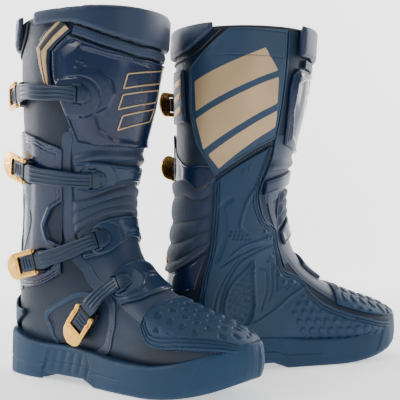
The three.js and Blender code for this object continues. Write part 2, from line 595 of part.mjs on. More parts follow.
// ---- one boot ---------------------------------------------------------------------------
function boot(side) {
  const { x, y, yaw, mirrored } = STANDS[side];
  const group = new THREE.Group();
  group.position.set(x, y, 0);
  group.rotation.z = THREE.MathUtils.degToRad(yaw);

  const add = (name, geometry, material) => {
    const points = [];
    const position = geometry.attributes.position;
    for (let i = 0; i < position.count; i += 1) {
      const p = new THREE.Vector3().fromBufferAttribute(position, i);
      if (mirrored) p.y = -p.y;
      points.push(p);
    }
    const index = Array.from(geometry.index.array);
    const triangles = Array.from({ length: index.length / 3 }, (_, i) => index.slice(3 * i, 3 * i + 3));
    const mesh = new THREE.Mesh(closedGeometry(points, triangles), material);
    mesh.name = `${side}_${name}`;
    group.add(mesh);
  };

  add('outsole', outsole(), RUBBER);
  add('insole_board', patch(INSOLE_NET, BOARD, 4, 8), BOARD_GREY);
  add('footbed', patch(INSOLE_NET, FOOTBED, 4, 8), FOAM);
  add('vamp_shell', vampShell(), LEATHER);
  add('shaft_shell', shaftShell(), LEATHER);
  add('heel_counter', patch(HEEL_NET, HEEL, 14, 5), MATTE_TPU);
  add('medial_guard', patch(MEDIAL_GUARD_NET, PANEL, 5, 18), MATTE_TPU);
  add('medial_top_panel', patch(MEDIAL_TOP_NET, PANEL, 6, 10), MATTE_TPU);
  add('front_collar', patch(FRONT_COLLAR_NET, COLLAR, 15, 2), PADDING);
  add('rear_collar', patch(REAR_COLLAR_NET, COLLAR, 10, 2), PADDING);
  add('bellows', patch(BELLOWS_NET, BELLOWS, 8, 4), PADDING);
  const windowCell = (i, j) => !(i === 2 && (j === 3 || j === 4));
  add('calf_plate', patch(CALF_NET, PANEL, 6, 10, windowCell), GLOSS_TPU);
  add('toe_guard', patch(TOE_GUARD_NET, PANEL, 12, 7), MATTE_TPU);
  add('pull_tab', patch(PULL_TAB_NET, PANEL, 3, 3), PADDING);

  const carriers = [
    ['shin_plate', patch(SHIN_NET, PLATE, 12, 6), GLOSS_TPU],
    ['strap_plate_2', patch(PLATE_2_NET, ANKLE_PLATE, 8, 2), GLOSS_TPU],
    ['strap_plate_3', patch(PLATE_3_NET, ANKLE_PLATE, 8, 3), GLOSS_TPU],
    ['strap_plate_4', patch(PLATE_4_NET, ANKLE_PLATE, 10, 3), GLOSS_TPU],
  ];
  const hinges = {};
  const toPair = new THREE.Matrix4().makeRotationZ(group.rotation.z).setPosition(x, y, 0);
  const placed = ({ point, axis }) => {
    const flip = mirrored ? -1 : 1;
    // mirroring turns the sense of rotation round, so the axis flips the other two components
    return {
      point: point.clone().multiply(new THREE.Vector3(1, flip, 1)).applyMatrix4(toPair),
      axis: axis.clone().multiply(new THREE.Vector3(flip, 1, flip)).transformDirection(toPair),
    };
  };
  STRAPS.forEach((strap, i) => {
    const parts = buckle(strap);
    const number = i + 1;
    const [name, plate, material] = carriers[i];
    add(name, join(plate, parts.boss), material);
    add(`strap_${number}`, parts.strapBody, STRAP_TPU);
    add(`lever_${number}`, parts.lever, GOLD);
    add(`buckle_base_${number}`, parts.base, BLACK);
    hinges[`strap_${number}`] = placed(parts.strapHinge);
    hinges[`lever_${number}`] = placed(parts.leverHinge);
  });
  // the shin flap folds out on the inner edge of its plate
  const flapLow = lifted(14.1, -0.2, CLEARANCE);
  const flapHigh = lifted(16.6, -0.2, CLEARANCE);
  const flapAxis = flapHigh.clone().sub(flapLow).normalize();
  hinges.shin_flap = placed({ point: flapLow, axis: flapAxis });
  group.userData.hinges = hinges;
  return group;
}

const pair = new THREE.Group();
pair.add(boot('right'), boot('left'));
pair.updateMatrixWorld(true);
const box = new THREE.Box3().setFromObject(pair, true);
pair.position.set(-(box.min.x + box.max.x) / 2, -(box.min.y + box.max.y) / 2, -box.min.z);

export default pair;
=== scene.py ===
import json

import bpy
import numpy as np
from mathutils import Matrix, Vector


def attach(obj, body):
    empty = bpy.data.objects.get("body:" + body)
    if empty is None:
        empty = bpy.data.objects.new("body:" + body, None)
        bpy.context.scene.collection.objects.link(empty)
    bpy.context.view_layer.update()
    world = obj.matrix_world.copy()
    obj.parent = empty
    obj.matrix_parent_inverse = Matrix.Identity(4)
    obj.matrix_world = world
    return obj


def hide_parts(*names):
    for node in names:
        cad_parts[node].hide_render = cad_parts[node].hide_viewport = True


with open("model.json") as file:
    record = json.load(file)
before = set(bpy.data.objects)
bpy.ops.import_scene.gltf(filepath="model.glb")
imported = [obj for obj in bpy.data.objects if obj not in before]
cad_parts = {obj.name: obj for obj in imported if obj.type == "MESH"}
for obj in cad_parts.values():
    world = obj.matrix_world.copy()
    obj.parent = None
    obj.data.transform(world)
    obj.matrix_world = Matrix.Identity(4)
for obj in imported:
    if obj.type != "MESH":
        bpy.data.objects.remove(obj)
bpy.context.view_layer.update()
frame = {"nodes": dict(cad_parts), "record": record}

# ---- Where the pair stands -----------------------------------------------------------------------
# Two boots, each on its heel and ball treads. A boot is drawn in its own frame, in millimetres:
# x forward from the ankle, y to the inner side of a right foot, z up. The left one is a mirror.
HEEL_TREAD_X, BALL_TREAD_X = -58.0, 85.0
treads = {m["name"]: 1000 * np.array(m["pos_m"]) for m in frame["record"]["mounts"]}
STANDS = {}
for side in ("right", "left"):
    heel, ball = treads[side + "_heel_tread"], treads[side + "_ball_tread"]
    forward = (ball - heel) / (BALL_TREAD_X - HEEL_TREAD_X)
    STANDS[side] = (heel - HEEL_TREAD_X * forward, forward)


def stood(points, side):
    """A boot's own frame to the pair's, in metres: ankle + x forward + y across + z up, with y
    turned round for the left boot."""
    ankle, forward = STANDS[side]
    across = np.array([-forward[1], forward[0], 0.0])
    y = points[:, 1:2] if side == "right" else -points[:, 1:2]
    up = np.array([0.0, 0.0, 1.0])
    return (ankle + points[:, :1] * forward + y * across + points[:, 2:] * up) / 1000


# ---- Leather upper -------------------------------------------------------------------------------
# The boot's body: 4 mm of coated microfibre leather and lining, lasted to a foot and calf. It is
# cut in panels, sewn, and cemented into the cup sole. Both shells of the frame are remade finely.
RINGS = np.array([
    # front x z, rear x z, half width outer and inner, squareness front and rear
    [230, 44, 230, 40, 1, 1, 2.0, 2.0],
    [226, 54, 226, 36, 20, 19, 2.0, 2.2],
    [215, 63, 216, 33, 35, 31, 2.0, 2.6],
    [194, 72, 194, 28, 47, 41, 2.1, 3.0],
    [166, 81, 166, 24, 53, 46, 2.1, 3.2],
    [136, 93, 130, 22, 53, 44, 2.1, 3.2],
    [110, 108, 88, 23, 48, 41, 2.1, 3.0],
    [92, 124, 42, 25, 42, 39, 2.1, 3.0],
    [80, 142, 0, 26, 40, 38, 2.1, 2.8],
    [74, 160, -42, 27, 40, 39, 2.1, 2.5],
    [70, 177, -78, 40, 41, 41, 2.1, 2.3],
    [68, 194, -82, 82, 43, 43, 2.1, 2.2],
    [68, 212, -75, 132, 46, 45, 2.1, 2.1],
    [72, 236, -68, 186, 51, 48, 2.1, 2.1],
    [80, 268, -66, 242, 58, 54, 2.2, 2.1],
    [90, 308, -66, 294, 65, 61, 2.2, 2.1],
    [96, 350, -66, 346, 69, 66, 2.2, 2.1],
    [99, 398, -64, 394, 70, 68, 2.2, 2.1],
    [100, 430, -63, 428, 71, 69, 2.2, 2.1],
])
SHELL_WALL = 3.6
SHELL_SPLIT, SHELL_TOP = 10.6, 17.0


def through(knots, t):
    """A cubic through the knots at t, whose slope at each knot is half the step between its
    neighbours (Catmull-Rom)."""
    last = len(knots) - 1
    t = np.clip(t, 0, last - 1e-9)
    i = np.floor(t).astype(int)
    f = (t - i)[..., None]
    before, a, b, after = (knots[np.clip(i + k, 0, last)] for k in (-1, 0, 1, 2))
    leave, arrive = (b - before) / 2, (after - a) / 2
    return ((2 * f**3 - 3 * f**2 + 1) * a + (f**3 - 2 * f**2 + f) * leave
            + (3 * f**2 - 2 * f**3) * b + (f**3 - f**2) * arrive)


def straight(knots, t):
    """Straight lines from knot to knot, at t."""
    t = np.clip(t, 0, len(knots) - 1 - 1e-9)
    i = np.floor(t).astype(int)
    f = (t - i)[..., None]
    return knots[i] * (1 - f) + knots[i + 1] * f


def skin(s, v):
    """The upper's surface. s runs from the toe tip (0) round the ankle to the top (17), and v once
    round: 0 front, 0.25 outer side, 0.5 rear, 0.75 inner side. Each ring is a superellipse,
    |cos|^(2/n) between its front and rear points and |sin|^(2/n) across."""
    s, v = np.broadcast_arrays(np.asarray(s, float), np.asarray(v, float))
    fx, fz, rx, rz, outer, inner, front, rear = np.moveaxis(through(RINGS, s), -1, 0)
    c, d = np.cos(2 * np.pi * v), np.sin(2 * np.pi * v)
    share = 0.5 + 0.5 * np.tanh(4 * c)
    n = front * share + rear * (1 - share)
    along = np.sign(c) * np.abs(c) ** (2 / n)
    across = np.sign(d) * np.abs(d) ** (2 / n)
    return np.stack([(fx + rx) / 2 + along * (fx - rx) / 2, -across * np.where(d > 0, outer, inner),
                     (fz + rz) / 2 + along * (fz - rz) / 2], -1)


def unit(vectors):
    return vectors / np.maximum(np.linalg.norm(vectors, axis=-1, keepdims=True), 1e-12)


def facing(s, v):
    """The skin's outward direction: the cross product of its two slopes, turned away from the
    middle of the ring."""
    s, v = np.broadcast_arrays(np.maximum(np.asarray(s, float), 0.04), np.asarray(v, float))
    along, round_it = skin(s + 0.02, v) - skin(s - 0.02, v), skin(s, v + 0.002) - skin(s, v - 0.002)
    normal = unit(np.cross(along, round_it))
    middle = (skin(s, v * 0) + skin(s, v * 0 + 0.5)) / 2
    away = np.sum(normal * (skin(s, v) - middle), -1, keepdims=True)
    return np.where(away < 0, -normal, normal)


def lifted(s, v, height):
    """A point of the skin, moved outwards by height."""
    return skin(s, v) + facing(s, v) * np.asarray(height, float)[..., None]


NO_QUADS, NO_TRIANGLES = np.zeros((0, 4), int), np.zeros((0, 3), int)


def outward(points, quads, triangles, fields=None):
    """A closed mesh whose faces point out: they are turned round if its signed volume, the sum of
    a . (b x c) over its triangles, is negative."""
    split = np.vstack([triangles, quads[:, [0, 1, 2]], quads[:, [0, 2, 3]]])
    a, b, c = (points[split[:, k]] for k in range(3))
    if np.sum(a * np.cross(b, c)) < 0:
        quads, triangles = quads[:, ::-1], triangles[:, ::-1]
    return points, quads, triangles, fields or {}


def quads_of(ids):
    """The quads of a grid of point numbers."""
    corners = ids[:-1, :-1], ids[1:, :-1], ids[1:, 1:], ids[:-1, 1:]
    return np.stack(corners, -1).reshape(-1, 4)


def loft(rings, loop=False):
    """Equal rings joined one to the next. A loop joins the last to the first; otherwise each end
    is closed by a fan to its middle."""
    count, sides = rings.shape[:2]
    ids = np.arange(count * sides).reshape(count, sides)
    ids = np.hstack([ids, ids[:, :1]])
    points = rings.reshape(-1, 3)
    if loop:
        return outward(points, quads_of(np.vstack([ids, ids[:1]])), NO_TRIANGLES)
    fans = []
    for end, turn in ((0, 1), (-1, -1)):
        middle = np.full(sides, len(points))
        points = np.vstack([points, rings[end].mean(0)])
        fans.append(np.stack([middle, ids[end, 1:], ids[end, :-1]], -1)[:, ::turn])
    return outward(points, quads_of(ids), np.vstack(fans))


def together(*meshes):
    """Several meshes as one; a field that a mesh lacks is 0 on it."""
    names = sorted({name for mesh in meshes for name in mesh[3]})
    starts = np.cumsum([0] + [len(mesh[0]) for mesh in meshes])
    fields = {name: np.concatenate([np.broadcast_to(mesh[3].get(name, 0.0), len(mesh[0]))
                                    for mesh in meshes]) for name in names}
    return (np.vstack([mesh[0] for mesh in meshes]),
            np.vstack([mesh[1] + k for mesh, k in zip(meshes, starts)]),
            np.vstack([mesh[2] + k for mesh, k in zip(meshes, starts)]), fields)


def placed(name, data):
    """A new object with this data, in the scene."""
    made = bpy.data.objects.new(name, data)
    bpy.context.scene.collection.objects.link(made)
    return made


def make(name, mesh, material, body="boots", stands_for=False, crease=40):
    """Puts a mesh into the scene for both boots, the left one mirrored with its faces turned
    round. The body of a moving piece is its name without the side."""
    points, quads, triangles, fields = mesh
    made = []
    for side in STANDS:
        turn = 1 if side == "right" else -1
        data = bpy.data.meshes.new(f"{side}_{name}_look")
        faces = quads[:, ::turn].tolist() + triangles[:, ::turn].tolist()
        data.from_pydata(stood(points, side).tolist(), [], faces)
        for field, values in fields.items():
            values = np.broadcast_to(values, len(points)).astype(np.float32)
            data.attributes.new(field, "FLOAT", "POINT").data.foreach_set("value", values)
        data.shade_smooth()
        data.set_sharp_from_angle(angle=np.radians(crease))
        data.materials.append(material)
        piece = placed(f"{side}_{name}_look", data)
        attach(piece, body if body == "boots" else f"{side}_{body}")
        if stands_for:
            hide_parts(f"{side}_{name}")
        made.append(piece)
    return made


def linear(code):
    """sRGB hex to linear: c / 12.92 up to 0.04045, and ((c + 0.055) / 1.055) ^ 2.4 above it."""
    c = np.array([int(code[i:i + 2], 16) / 255 for i in (1, 3, 5)])
    return (*np.where(c <= 0.04045, c / 12.92, ((c + 0.055) / 1.055) ** 2.4), 1.0)


def add(material, kind, sockets, **settings):
    """Adds one shader node. Each socket, by name or number, takes a value or another node's
    output."""
    tree = material.node_tree
    made = tree.nodes.new("ShaderNode" + kind)
    for setting, value in settings.items():
        setattr(made, setting, value)
    for socket, value in sockets.items():
        if isinstance(value, bpy.types.NodeSocket):
            tree.links.new(value, made.inputs[socket])
        else:
            made.inputs[socket].default_value = value
    return made


def finish(name, sockets):
    """A new material whose one surface shader has these values, and its object coordinates."""
    material = bpy.data.materials.new(name)
    material.use_nodes = True
    shader = material.node_tree.nodes["Principled BSDF"]
    for socket, value in sockets.items():
        shader.inputs[socket].default_value = value
    place = add(material, "TexCoord", {}).outputs["Object"]
    return material, shader, place


def noise(material, place, scale, detail=2.0):
    made = add(material, "TexNoise", {"Vector": place, "Scale": scale, "Detail": detail})
    return made.outputs["Fac"]


def dots(material, place, scale, feature):
    made = add(material, "TexVoronoi", {"Vector": place, "Scale": scale}, feature=feature)
    return made.outputs["Distance"]


def summed(material, a, b):
    return add(material, "Math", {0: a, 1: b}, operation="ADD").outputs[0]


def ranged(material, value, low, high):
    """0 to 1 stretched to low to high."""
    return add(material, "MapRange", {"Value": value, "To Min": low, "To Max": high}).outputs[0]


def on_edges(material, start, most):
    """How far a point is on a sharp edge: 0 below that pointiness, and most from 0.62 on."""
    sharp = add(material, "NewGeometry", {}).outputs["Pointiness"]
    return add(material, "MapRange", {"Value": sharp, "From Min": start, "From Max": 0.62,
                                      "To Max": most}).outputs[0]


def blend(material, share, low, high):
    """From one colour to another; each is an sRGB hex code or another node's output."""
    low, high = (linear(end) if isinstance(end, str) else end for end in (low, high))
    return add(material, "Mix", {0: share, 6: low, 7: high}, data_type="RGBA").outputs[2]


def bumped(material, height, strength, depth):
    """Surface relief of that depth in metres."""
    made = add(material, "Bump", {"Height": height, "Strength": strength, "Distance": depth})
    return made.outputs["Normal"]


def wire(material, shader, sockets):
    """Links each output to the surface shader's socket of that name."""
    for socket, output in sockets.items():
        material.node_tree.links.new(output, shader.inputs[socket])


# Coated microfibre leather, embossed and semi-matt: a fine pebble grain with soft creases, a little
# lighter where it is handled. The real grain is 0.6 mm; it is drawn at 1.1 mm so that it shows.
leather, shader, place = finish("coated_microfibre_leather", {
    "IOR": 1.48, "Specular IOR Level": 0.3, "Sheen Weight": 0.05, "Sheen Roughness": 0.5})
patches = add(leather, "TexNoise", {"Vector": place, "Scale": 14.0, "Detail": 4.0,
                                    "Roughness": 0.6}).outputs["Fac"]
worn = add(leather, "MapRange", {"Value": patches, "From Min": 0.35, "From Max": 0.7}).outputs[0]
tint = blend(leather, worn, "#0a1726", "#12263c")
pebble = dots(leather, place, 900.0, "F1")
crease = noise(leather, place, 120.0, 5.0)
grain = summed(leather, pebble, crease)
shine = ranged(leather, crease, 0.36, 0.56)
wire(leather, shader, {"Base Color": tint, "Roughness": shine,
                       "Normal": bumped(leather, grain, 0.35, 0.0003)})


def rings_at(stations, height, sides=112):
    """Whole rings of the skin, lifted by height."""
    v = np.arange(sides) / sides
    return lifted(np.asarray(stations)[:, None], v[None, :],
                  np.full((len(stations), sides), height))


def shell(stations, loop):
    """A wall of leather: rings at the skin, and the same rings inside it the other way."""
    inside = stations if loop else stations[6:]
    return loft(np.vstack([rings_at(stations, 0), rings_at(inside[::-1], -SHELL_WALL)]), loop)


toe_rings = np.concatenate([np.linspace(0.04, 1, 12)[:-1], np.linspace(1, SHELL_SPLIT, 70)])
make("vamp_shell", shell(toe_rings, False), leather, stands_for=True)
make("shaft_shell", shell(np.linspace(SHELL_SPLIT, SHELL_TOP, 60), True), leather,
     stands_for=True)

# ---- Lining and top binding ----------------------------------------------------------------------
# A warp-knitted polyester lining glued inside the leather, and a strip of black synthetic leather
# folded over the top edge and sewn down.
# Knitted polyester: matt, with small loops 1.4 mm apart, drawn at 2.4 mm.
knit, shader, place = finish("knitted_lining", {"Roughness": 0.9, "Sheen Weight": 0.3})
loops = dots(knit, place, 420.0, "SMOOTH_F1")
tint = blend(knit, loops, "#1b1f27", "#0a0c10")
wire(knit, shader, {"Base Color": tint, "Normal": bumped(knit, loops, 0.5, 0.0006)})
inside = np.linspace(1.3, SHELL_TOP - 0.02, 60)
make("lining", loft(np.vstack([rings_at(inside, -SHELL_WALL - 0.1, 64),
                               rings_at(inside[::-1], -SHELL_WALL - 0.5, 64)]), True),
     knit)

# Black synthetic leather binding: smooth, slightly shiny on the fold.
binding, shader, place = finish("black_binding", {
    "Roughness": 0.5, "Base Color": linear("#0b0d12")})
wrinkle = noise(binding, place, 260.0, 3.0)
wire(binding, shader, {"Normal": bumped(binding, wrinkle, 0.3, 0.0004)})


def tube(points, normals, radius, sides=8, closed=False, flat=1.0):
    """A cord along points: at each, a circle of that radius square to the line, flattened towards
    the surface by flat."""
    ahead = (np.roll(points, -1, 0) - np.roll(points, 1, 0) if closed
             else np.gradient(points, axis=0))
    along = unit(ahead)
    up = unit(normals - along * np.sum(normals * along, -1, keepdims=True))
    across = np.cross(up, along)
    turn = 2 * np.pi * np.arange(sides) / sides
    radius = np.broadcast_to(radius, len(points))[:, None, None]
    rings = (points[:, None] + radius * np.cos(turn)[None, :, None] * across[:, None]
             + flat * radius * np.sin(turn)[None, :, None] * up[:, None])
    return loft(rings, closed)


rim = rings_at([SHELL_TOP], -SHELL_WALL / 2, 160)[0]
make("top_binding", tube(rim, facing(np.full(160, SHELL_TOP), np.arange(160) / 160), 2.5,
                         closed=True, sides=12), binding)

# ---- Cup sole ------------------------------------------------------------------------------------
# One injection-moulded rubber cup: it wraps the upper's edge, has a heel block, a ribbed insert in
# the arch, a toe bumper and a shallow tread. The upper is cemented and stitched into it.
SOLE_PLAN = np.array([
    # x, half width outer and inner, height of the cup's edge above the tread line
    [-91.5, 4, 4, 50], [-91, 10, 10, 50], [-88, 21, 21, 52], [-80, 30, 30, 51], [-66, 36, 36, 47],
    [-46, 40, 39, 42], [-26, 41, 39, 40], [-18, 41, 38, 40], [14, 42, 37, 40], [40, 45, 38, 39],
    [58, 48, 40, 37], [84, 53, 43, 34], [112, 57, 47, 33], [140, 59, 49, 33], [166, 58, 49, 35],
    [186, 54, 46, 37], [204, 46, 40, 39], [219, 34, 31, 39], [228, 24, 22, 38],
    [233.4, 16, 15, 36], [236, 9.5, 9.5, 34], [236.8, 4.6, 4.6, 33],
])
TOE_SPRING, SPRING_START, SOLE_TIP = 24.0, 125.0, 236.0
ARCH = ([-26, -18, 40, 58], [0, 7, 7, 0])
SOLE_LIP, TREAD_ROUND = 4.0, 6


def tread_height(x):
    """Flat under heel and ball, hollow at the arch, and curling up with the square of the distance
    at the toe."""
    curl = np.clip((x - SPRING_START) / (SOLE_TIP - SPRING_START), 0, 1) ** 2
    return TOE_SPRING * curl + np.interp(x, *ARCH, left=0, right=0)


def bump_of(distance, width):
    """1 on a line, falling smoothly to 0 at that distance from it: (1 - (d / w)^2)^2."""
    return np.clip(1 - (distance / width) ** 2, 0, 1) ** 2


def step_of(distance, width):
    """0 before, 1 after, with a smooth step over that width either side of 0."""
    t = np.clip(distance / (2 * width) + 0.5, 0, 1)
    return t * t * (3 - 2 * t)


plan = np.linspace(0, len(SOLE_PLAN) - 1, 230)
rows = straight(SOLE_PLAN.astype(float), plan)
smooth_rows = through(SOLE_PLAN.astype(float), plan)
x, outer, inner = rows[:, 0], smooth_rows[:, 1], smooth_rows[:, 2]
low, high = tread_height(x), rows[:, 3] + TOE_SPRING * np.clip(
    (x - SPRING_START) / (SOLE_TIP - SPRING_START), 0, 1) ** 2
# one side of a section, from the middle of the tread to the middle of the top: share of the half
# width, distance in from it, share of the height, height above the tread
side_q = np.concatenate([np.linspace(0, 1, 16)[:-1], np.linspace(1, 2, 7)[:-1],
                         np.linspace(2, 3, 26)[:-1], np.linspace(3, 4, 6)[:-1],
                         np.linspace(4, 5, 5)])
corner = np.clip(side_q - 1, 0, 1) * np.pi / 2
lip = np.clip(side_q - 3, 0, 1) * np.pi / 2


def sole_section(half, low, high):
    """Half a section: along the tread to 90% of the half width, up a quarter round of 6 mm, up the
    side, and over a 4 mm lip to the middle."""
    half, low, high = half[:, None], low[:, None], high[:, None]
    edge = 0.1 * half
    y = np.where(side_q < 1, side_q * (half - edge),
                 np.where(side_q < 3, half - edge * (1 - np.sin(corner)),
                          half - SOLE_LIP * (1 - np.cos(lip))))
    y = np.where(side_q > 4, (half - SOLE_LIP) * (5 - side_q), y)
    z = low + TREAD_ROUND * (1 - np.cos(corner))
    z = z + (high - SOLE_LIP - low - TREAD_ROUND) * np.clip(side_q - 2, 0,
                                                            1) + SOLE_LIP * np.sin(lip)
    return y, z


def sole_relief(x, z_share, q, medial):
    """How far the side stands out: a parting line, the toe bumper, and a ribbed insert at the arch
    whose outline is a slanted box in x and height."""
    on_side = step_of(q - 1.9, 0.2) * step_of(3.0 - q, 0.1)
    line = bump_of(z_share - 0.42 - 0.0004 * x, 0.035) * step_of(100 - x, 3)
    bumper = step_of(x - 188 - 22 * (z_share - 0.5), 1.2)
    front, back = x - 66 + 24 * z_share, x + 24 - 16 * z_share
    box = np.minimum(np.minimum(back, -front), 60 * (0.86 - z_share))
    groove = bump_of(box, 1.4)
    within = step_of(box - 1.5, 0.8)
    pitch, depth = (2.6, 0.55) if medial else (13.0, 0.9)
    ribs = within * depth * bump_of((x - 8 * z_share + 1000) % pitch - pitch / 2, pitch * 0.28)
    return on_side * (-0.9 * line - 1.3 * groove + 1.1 * bumper - ribs - 0.5 * within)


halves = []
for half, medial in ((outer, False), (inner, True)):
    y, z = sole_section(half, low, high)
    share = (z - low[:, None]) / (high - low)[:, None]
    y = y + sole_relief(x[:, None], share, side_q[None, :], medial) * step_of(half[:, None] - 14, 4)
    lug = (x[:, None] - 0.35 * y + 1000) % 11.0 - 5.5
    cut = bump_of(lug, 1.3) * step_of(0.93 - side_q, 0.05) * step_of(side_q - 0.18, 0.05)
    spine = bump_of(side_q - 0.18, 0.04)
    z = z + 1.6 * np.maximum(cut, spine) * step_of(x[:, None] + 82, 2) * step_of(222 - x[:, None],
                                                                                 2)
    y = y * (1 - 0.05 * share**2)
    nose = np.clip((x[:, None] - 195) / 41, 0, 1) ** 2 * (4 * share**2 + 5 * (1 - share) ** 3)
    halves.append(np.stack([x[:, None] - nose, y * (1 if medial else -1), z], -1))
sections = np.concatenate([halves[0], halves[1][:, -2:0:-1]], 1)


def carved(mesh, tool):
    """The mesh less the tool, by an exact boolean, as triangles."""
    objects = []
    for points, quads, triangles, _ in (mesh, tool):
        data = bpy.data.meshes.new("carving")
        data.from_pydata(points.tolist(), [], quads.tolist() + triangles.tolist())
        objects.append(placed("carving", data))
    cutting = objects[0].modifiers.new("cut", "BOOLEAN")
    cutting.operation, cutting.solver, cutting.object = "DIFFERENCE", "EXACT", objects[1]
    objects[0].modifiers.new("triangles", "TRIANGULATE")
    done = objects[0].evaluated_get(bpy.context.evaluated_depsgraph_get()).to_mesh()
    points, triangles = np.zeros(len(done.vertices) * 3), np.zeros(len(done.polygons) * 3, int)
    done.vertices.foreach_get("co", points)
    done.polygons.foreach_get("vertices", triangles)
    for thing in objects:
        bpy.data.objects.remove(thing)
    return outward(points.reshape(-1, 3), NO_QUADS, triangles.reshape(-1, 3))


# Moulded rubber: matt, mid navy, with a fine eroded-mould grain 0.5 mm across, drawn at 0.8 mm, and
# a dusty bloom in broad patches.
rubber, shader, place = finish("moulded_sole_rubber", {"IOR": 1.52, "Specular IOR Level": 0.25})
bloom = noise(rubber, place, 22.0, 5.0)
tint = blend(rubber, bloom, "#122b42", "#1e3f5c")
mould = noise(rubber, place, 1300.0, 2.0)
shine = ranged(rubber, bloom, 0.46, 0.66)
wire(rubber, shader, {"Base Color": tint, "Roughness": shine,
                      "Normal": bumped(rubber, mould, 0.3, 0.00025)})
last = loft(rings_at(np.concatenate([np.linspace(0.04, 1, 8)[:-1], np.linspace(1, 12.2, 60)]), 0.25,
                     88))
make("outsole", carved(loft(sections), last), rubber, stands_for=True, crease=50)

# ---- Rear panels and heel ------------------------------------------------------------------------
# Behind the calf: a gloss band, a sewn accordion of knit-backed foam that lets the ankle bend,
# and a lower band. Below them the heel counter, a stiff matt moulding cemented over the leather.


def edged(length, count, rounding):
    """Shares of a length: close together over a rounded edge at each end, even between."""
    edge = rounding * np.array([0, 0.04, 0.16, 0.42, 1.0]) / length
    return np.concatenate([edge[:-1], np.linspace(edge[-1], 1 - edge[-1], count), 1 - edge[-2::-1]])


def travelled(points):
    """How far along a line each of its points is."""
    return np.concatenate([[0], np.cumsum(np.linalg.norm(np.diff(points, axis=0), axis=1))])


def sampled(where, far, vectors):
    """Vectors given at the distances far along a line, at other distances along it."""
    return np.stack([np.interp(where, far, vectors[:, k]) for k in range(3)], -1)


def curve_length(points):
    return np.sum(np.linalg.norm(np.diff(points, axis=0), axis=1))


class Spread:
    """A net of (s, v) points spread over the skin as a grid: where each grid point is, how far it
    is from the middle line and from the lower edge, and its distance in from the sides and from
    the nearest edge, all in millimetres along the skin."""

    def __init__(self, net, cells, mix, rounding):
        rows, columns = net.shape[:2]
        ends = np.linspace(0, 1, 40)

        def at(a, b):
            upward = mix(net.reshape(rows, -1), b * (rows - 1)).reshape(len(b), columns, 2)
            across = upward.transpose(1, 0, 2).reshape(columns, -1)
            return mix(across, a * (columns - 1)).reshape(len(a), len(b), 2)

        half = np.array([0.5])
        wide = curve_length(skin(*at(ends, half)[:, 0].T))
        tall = curve_length(skin(*at(half, ends)[0].T))
        grid = at(edged(wide, cells[0], rounding), edged(tall, cells[1], rounding))
        self.s, self.v = grid[..., 0], grid[..., 1]
        self.points, self.out = skin(self.s, self.v), facing(self.s, self.v)
        steps = [np.linalg.norm(np.diff(self.points, axis=k), axis=-1) for k in (0, 1)]
        self.over = np.pad(np.cumsum(steps[0], 0), ((1, 0), (0, 0)))
        self.along = np.pad(np.cumsum(steps[1], 1), ((0, 0), (1, 0)))
        self.side = np.minimum(self.over, self.over[-1:] - self.over)
        self.ends = np.minimum(self.along, self.along[:, -1:] - self.along)
        self.edge = np.minimum(self.side, self.ends)
        self.across = self.over - self.over[-1:] / 2


def panel(net, low, high, cells, mix=through, rounding=1.3, relief=None, marks=None):
    """A closed sheet on the skin from height low to high. Its edge is a quarter round,
    sqrt(1 - (1 - d / r)^2) of the wall at distance d; relief adds to the face inside the edge; the
    back stays flat but never above the face."""
    g = Spread(np.array(net, float), cells, mix, rounding)
    t = np.clip(g.edge / rounding, 0, 1)
    height = low + (high - low) * np.sqrt(1 - (1 - t) ** 2)
    if relief:
        height = height + relief(g) * step_of(g.edge - rounding, rounding)
    face = g.points + g.out * height[..., None]
    back = (g.points + g.out * np.minimum(low, height - 0.1)[..., None])[1:-1, 1:-1]
    n, m = height.shape
    front_ids = np.arange(n * m).reshape(n, m)
    back_ids = front_ids.copy()
    back_ids[1:-1, 1:-1] = n * m + np.arange((n - 2) * (m - 2)).reshape(n - 2, m - 2)
    points = np.vstack([face.reshape(-1, 3), back.reshape(-1, 3)])
    fields = {"across": g.across, "along": g.along, **(marks(g) if marks else {})}
    fields = {name: np.concatenate([values.ravel(), values[1:-1, 1:-1].ravel()])
              for name, values in fields.items()}
    return outward(points, np.vstack([quads_of(front_ids), quads_of(back_ids)[:, ::-1]]),
                   NO_TRIANGLES, fields)


def trace(route, step, height=0.0, closed=False, mix=through):
    """A line drawn on the skin through (s, v) points: even points along it, and their outward
    directions."""
    way = np.array(route + route[:1] if closed else route, float)
    sv = mix(way, np.linspace(0, len(way) - 1, 30 * (len(way) - 1) + 1))
    far = travelled(skin(*sv.T))
    even = np.linspace(0, far[-1], max(3, round(far[-1] / step) + 1))
    s, v = (np.interp(even, far, sv[:, k]) for k in (0, 1))
    points, out = lifted(s, v, np.broadcast_to(height, len(even))), facing(s, v)
    return (points[:-1], out[:-1]) if closed else (points, out)


def distance(points, route, closed=False, mix=through):
    """Distance from each point to a line on the skin, as the nearest of its short straight
    pieces."""
    line = trace(route, 3.0, mix=mix)[0]
    if closed:
        line = np.vstack([trace(route, 3.0, closed=True, mix=mix)[0], line[:1]])
    nearest = np.full(points.shape[:-1], 1e9)
    for a, b in zip(line[:-1], line[1:]):
        share = np.clip((points - a) @ (b - a) / max((b - a) @ (b - a), 1e-9), 0, 1)
        gap = np.linalg.norm(points - a - share[..., None] * (b - a), axis=-1)
        nearest = np.minimum(nearest, gap)
    return nearest


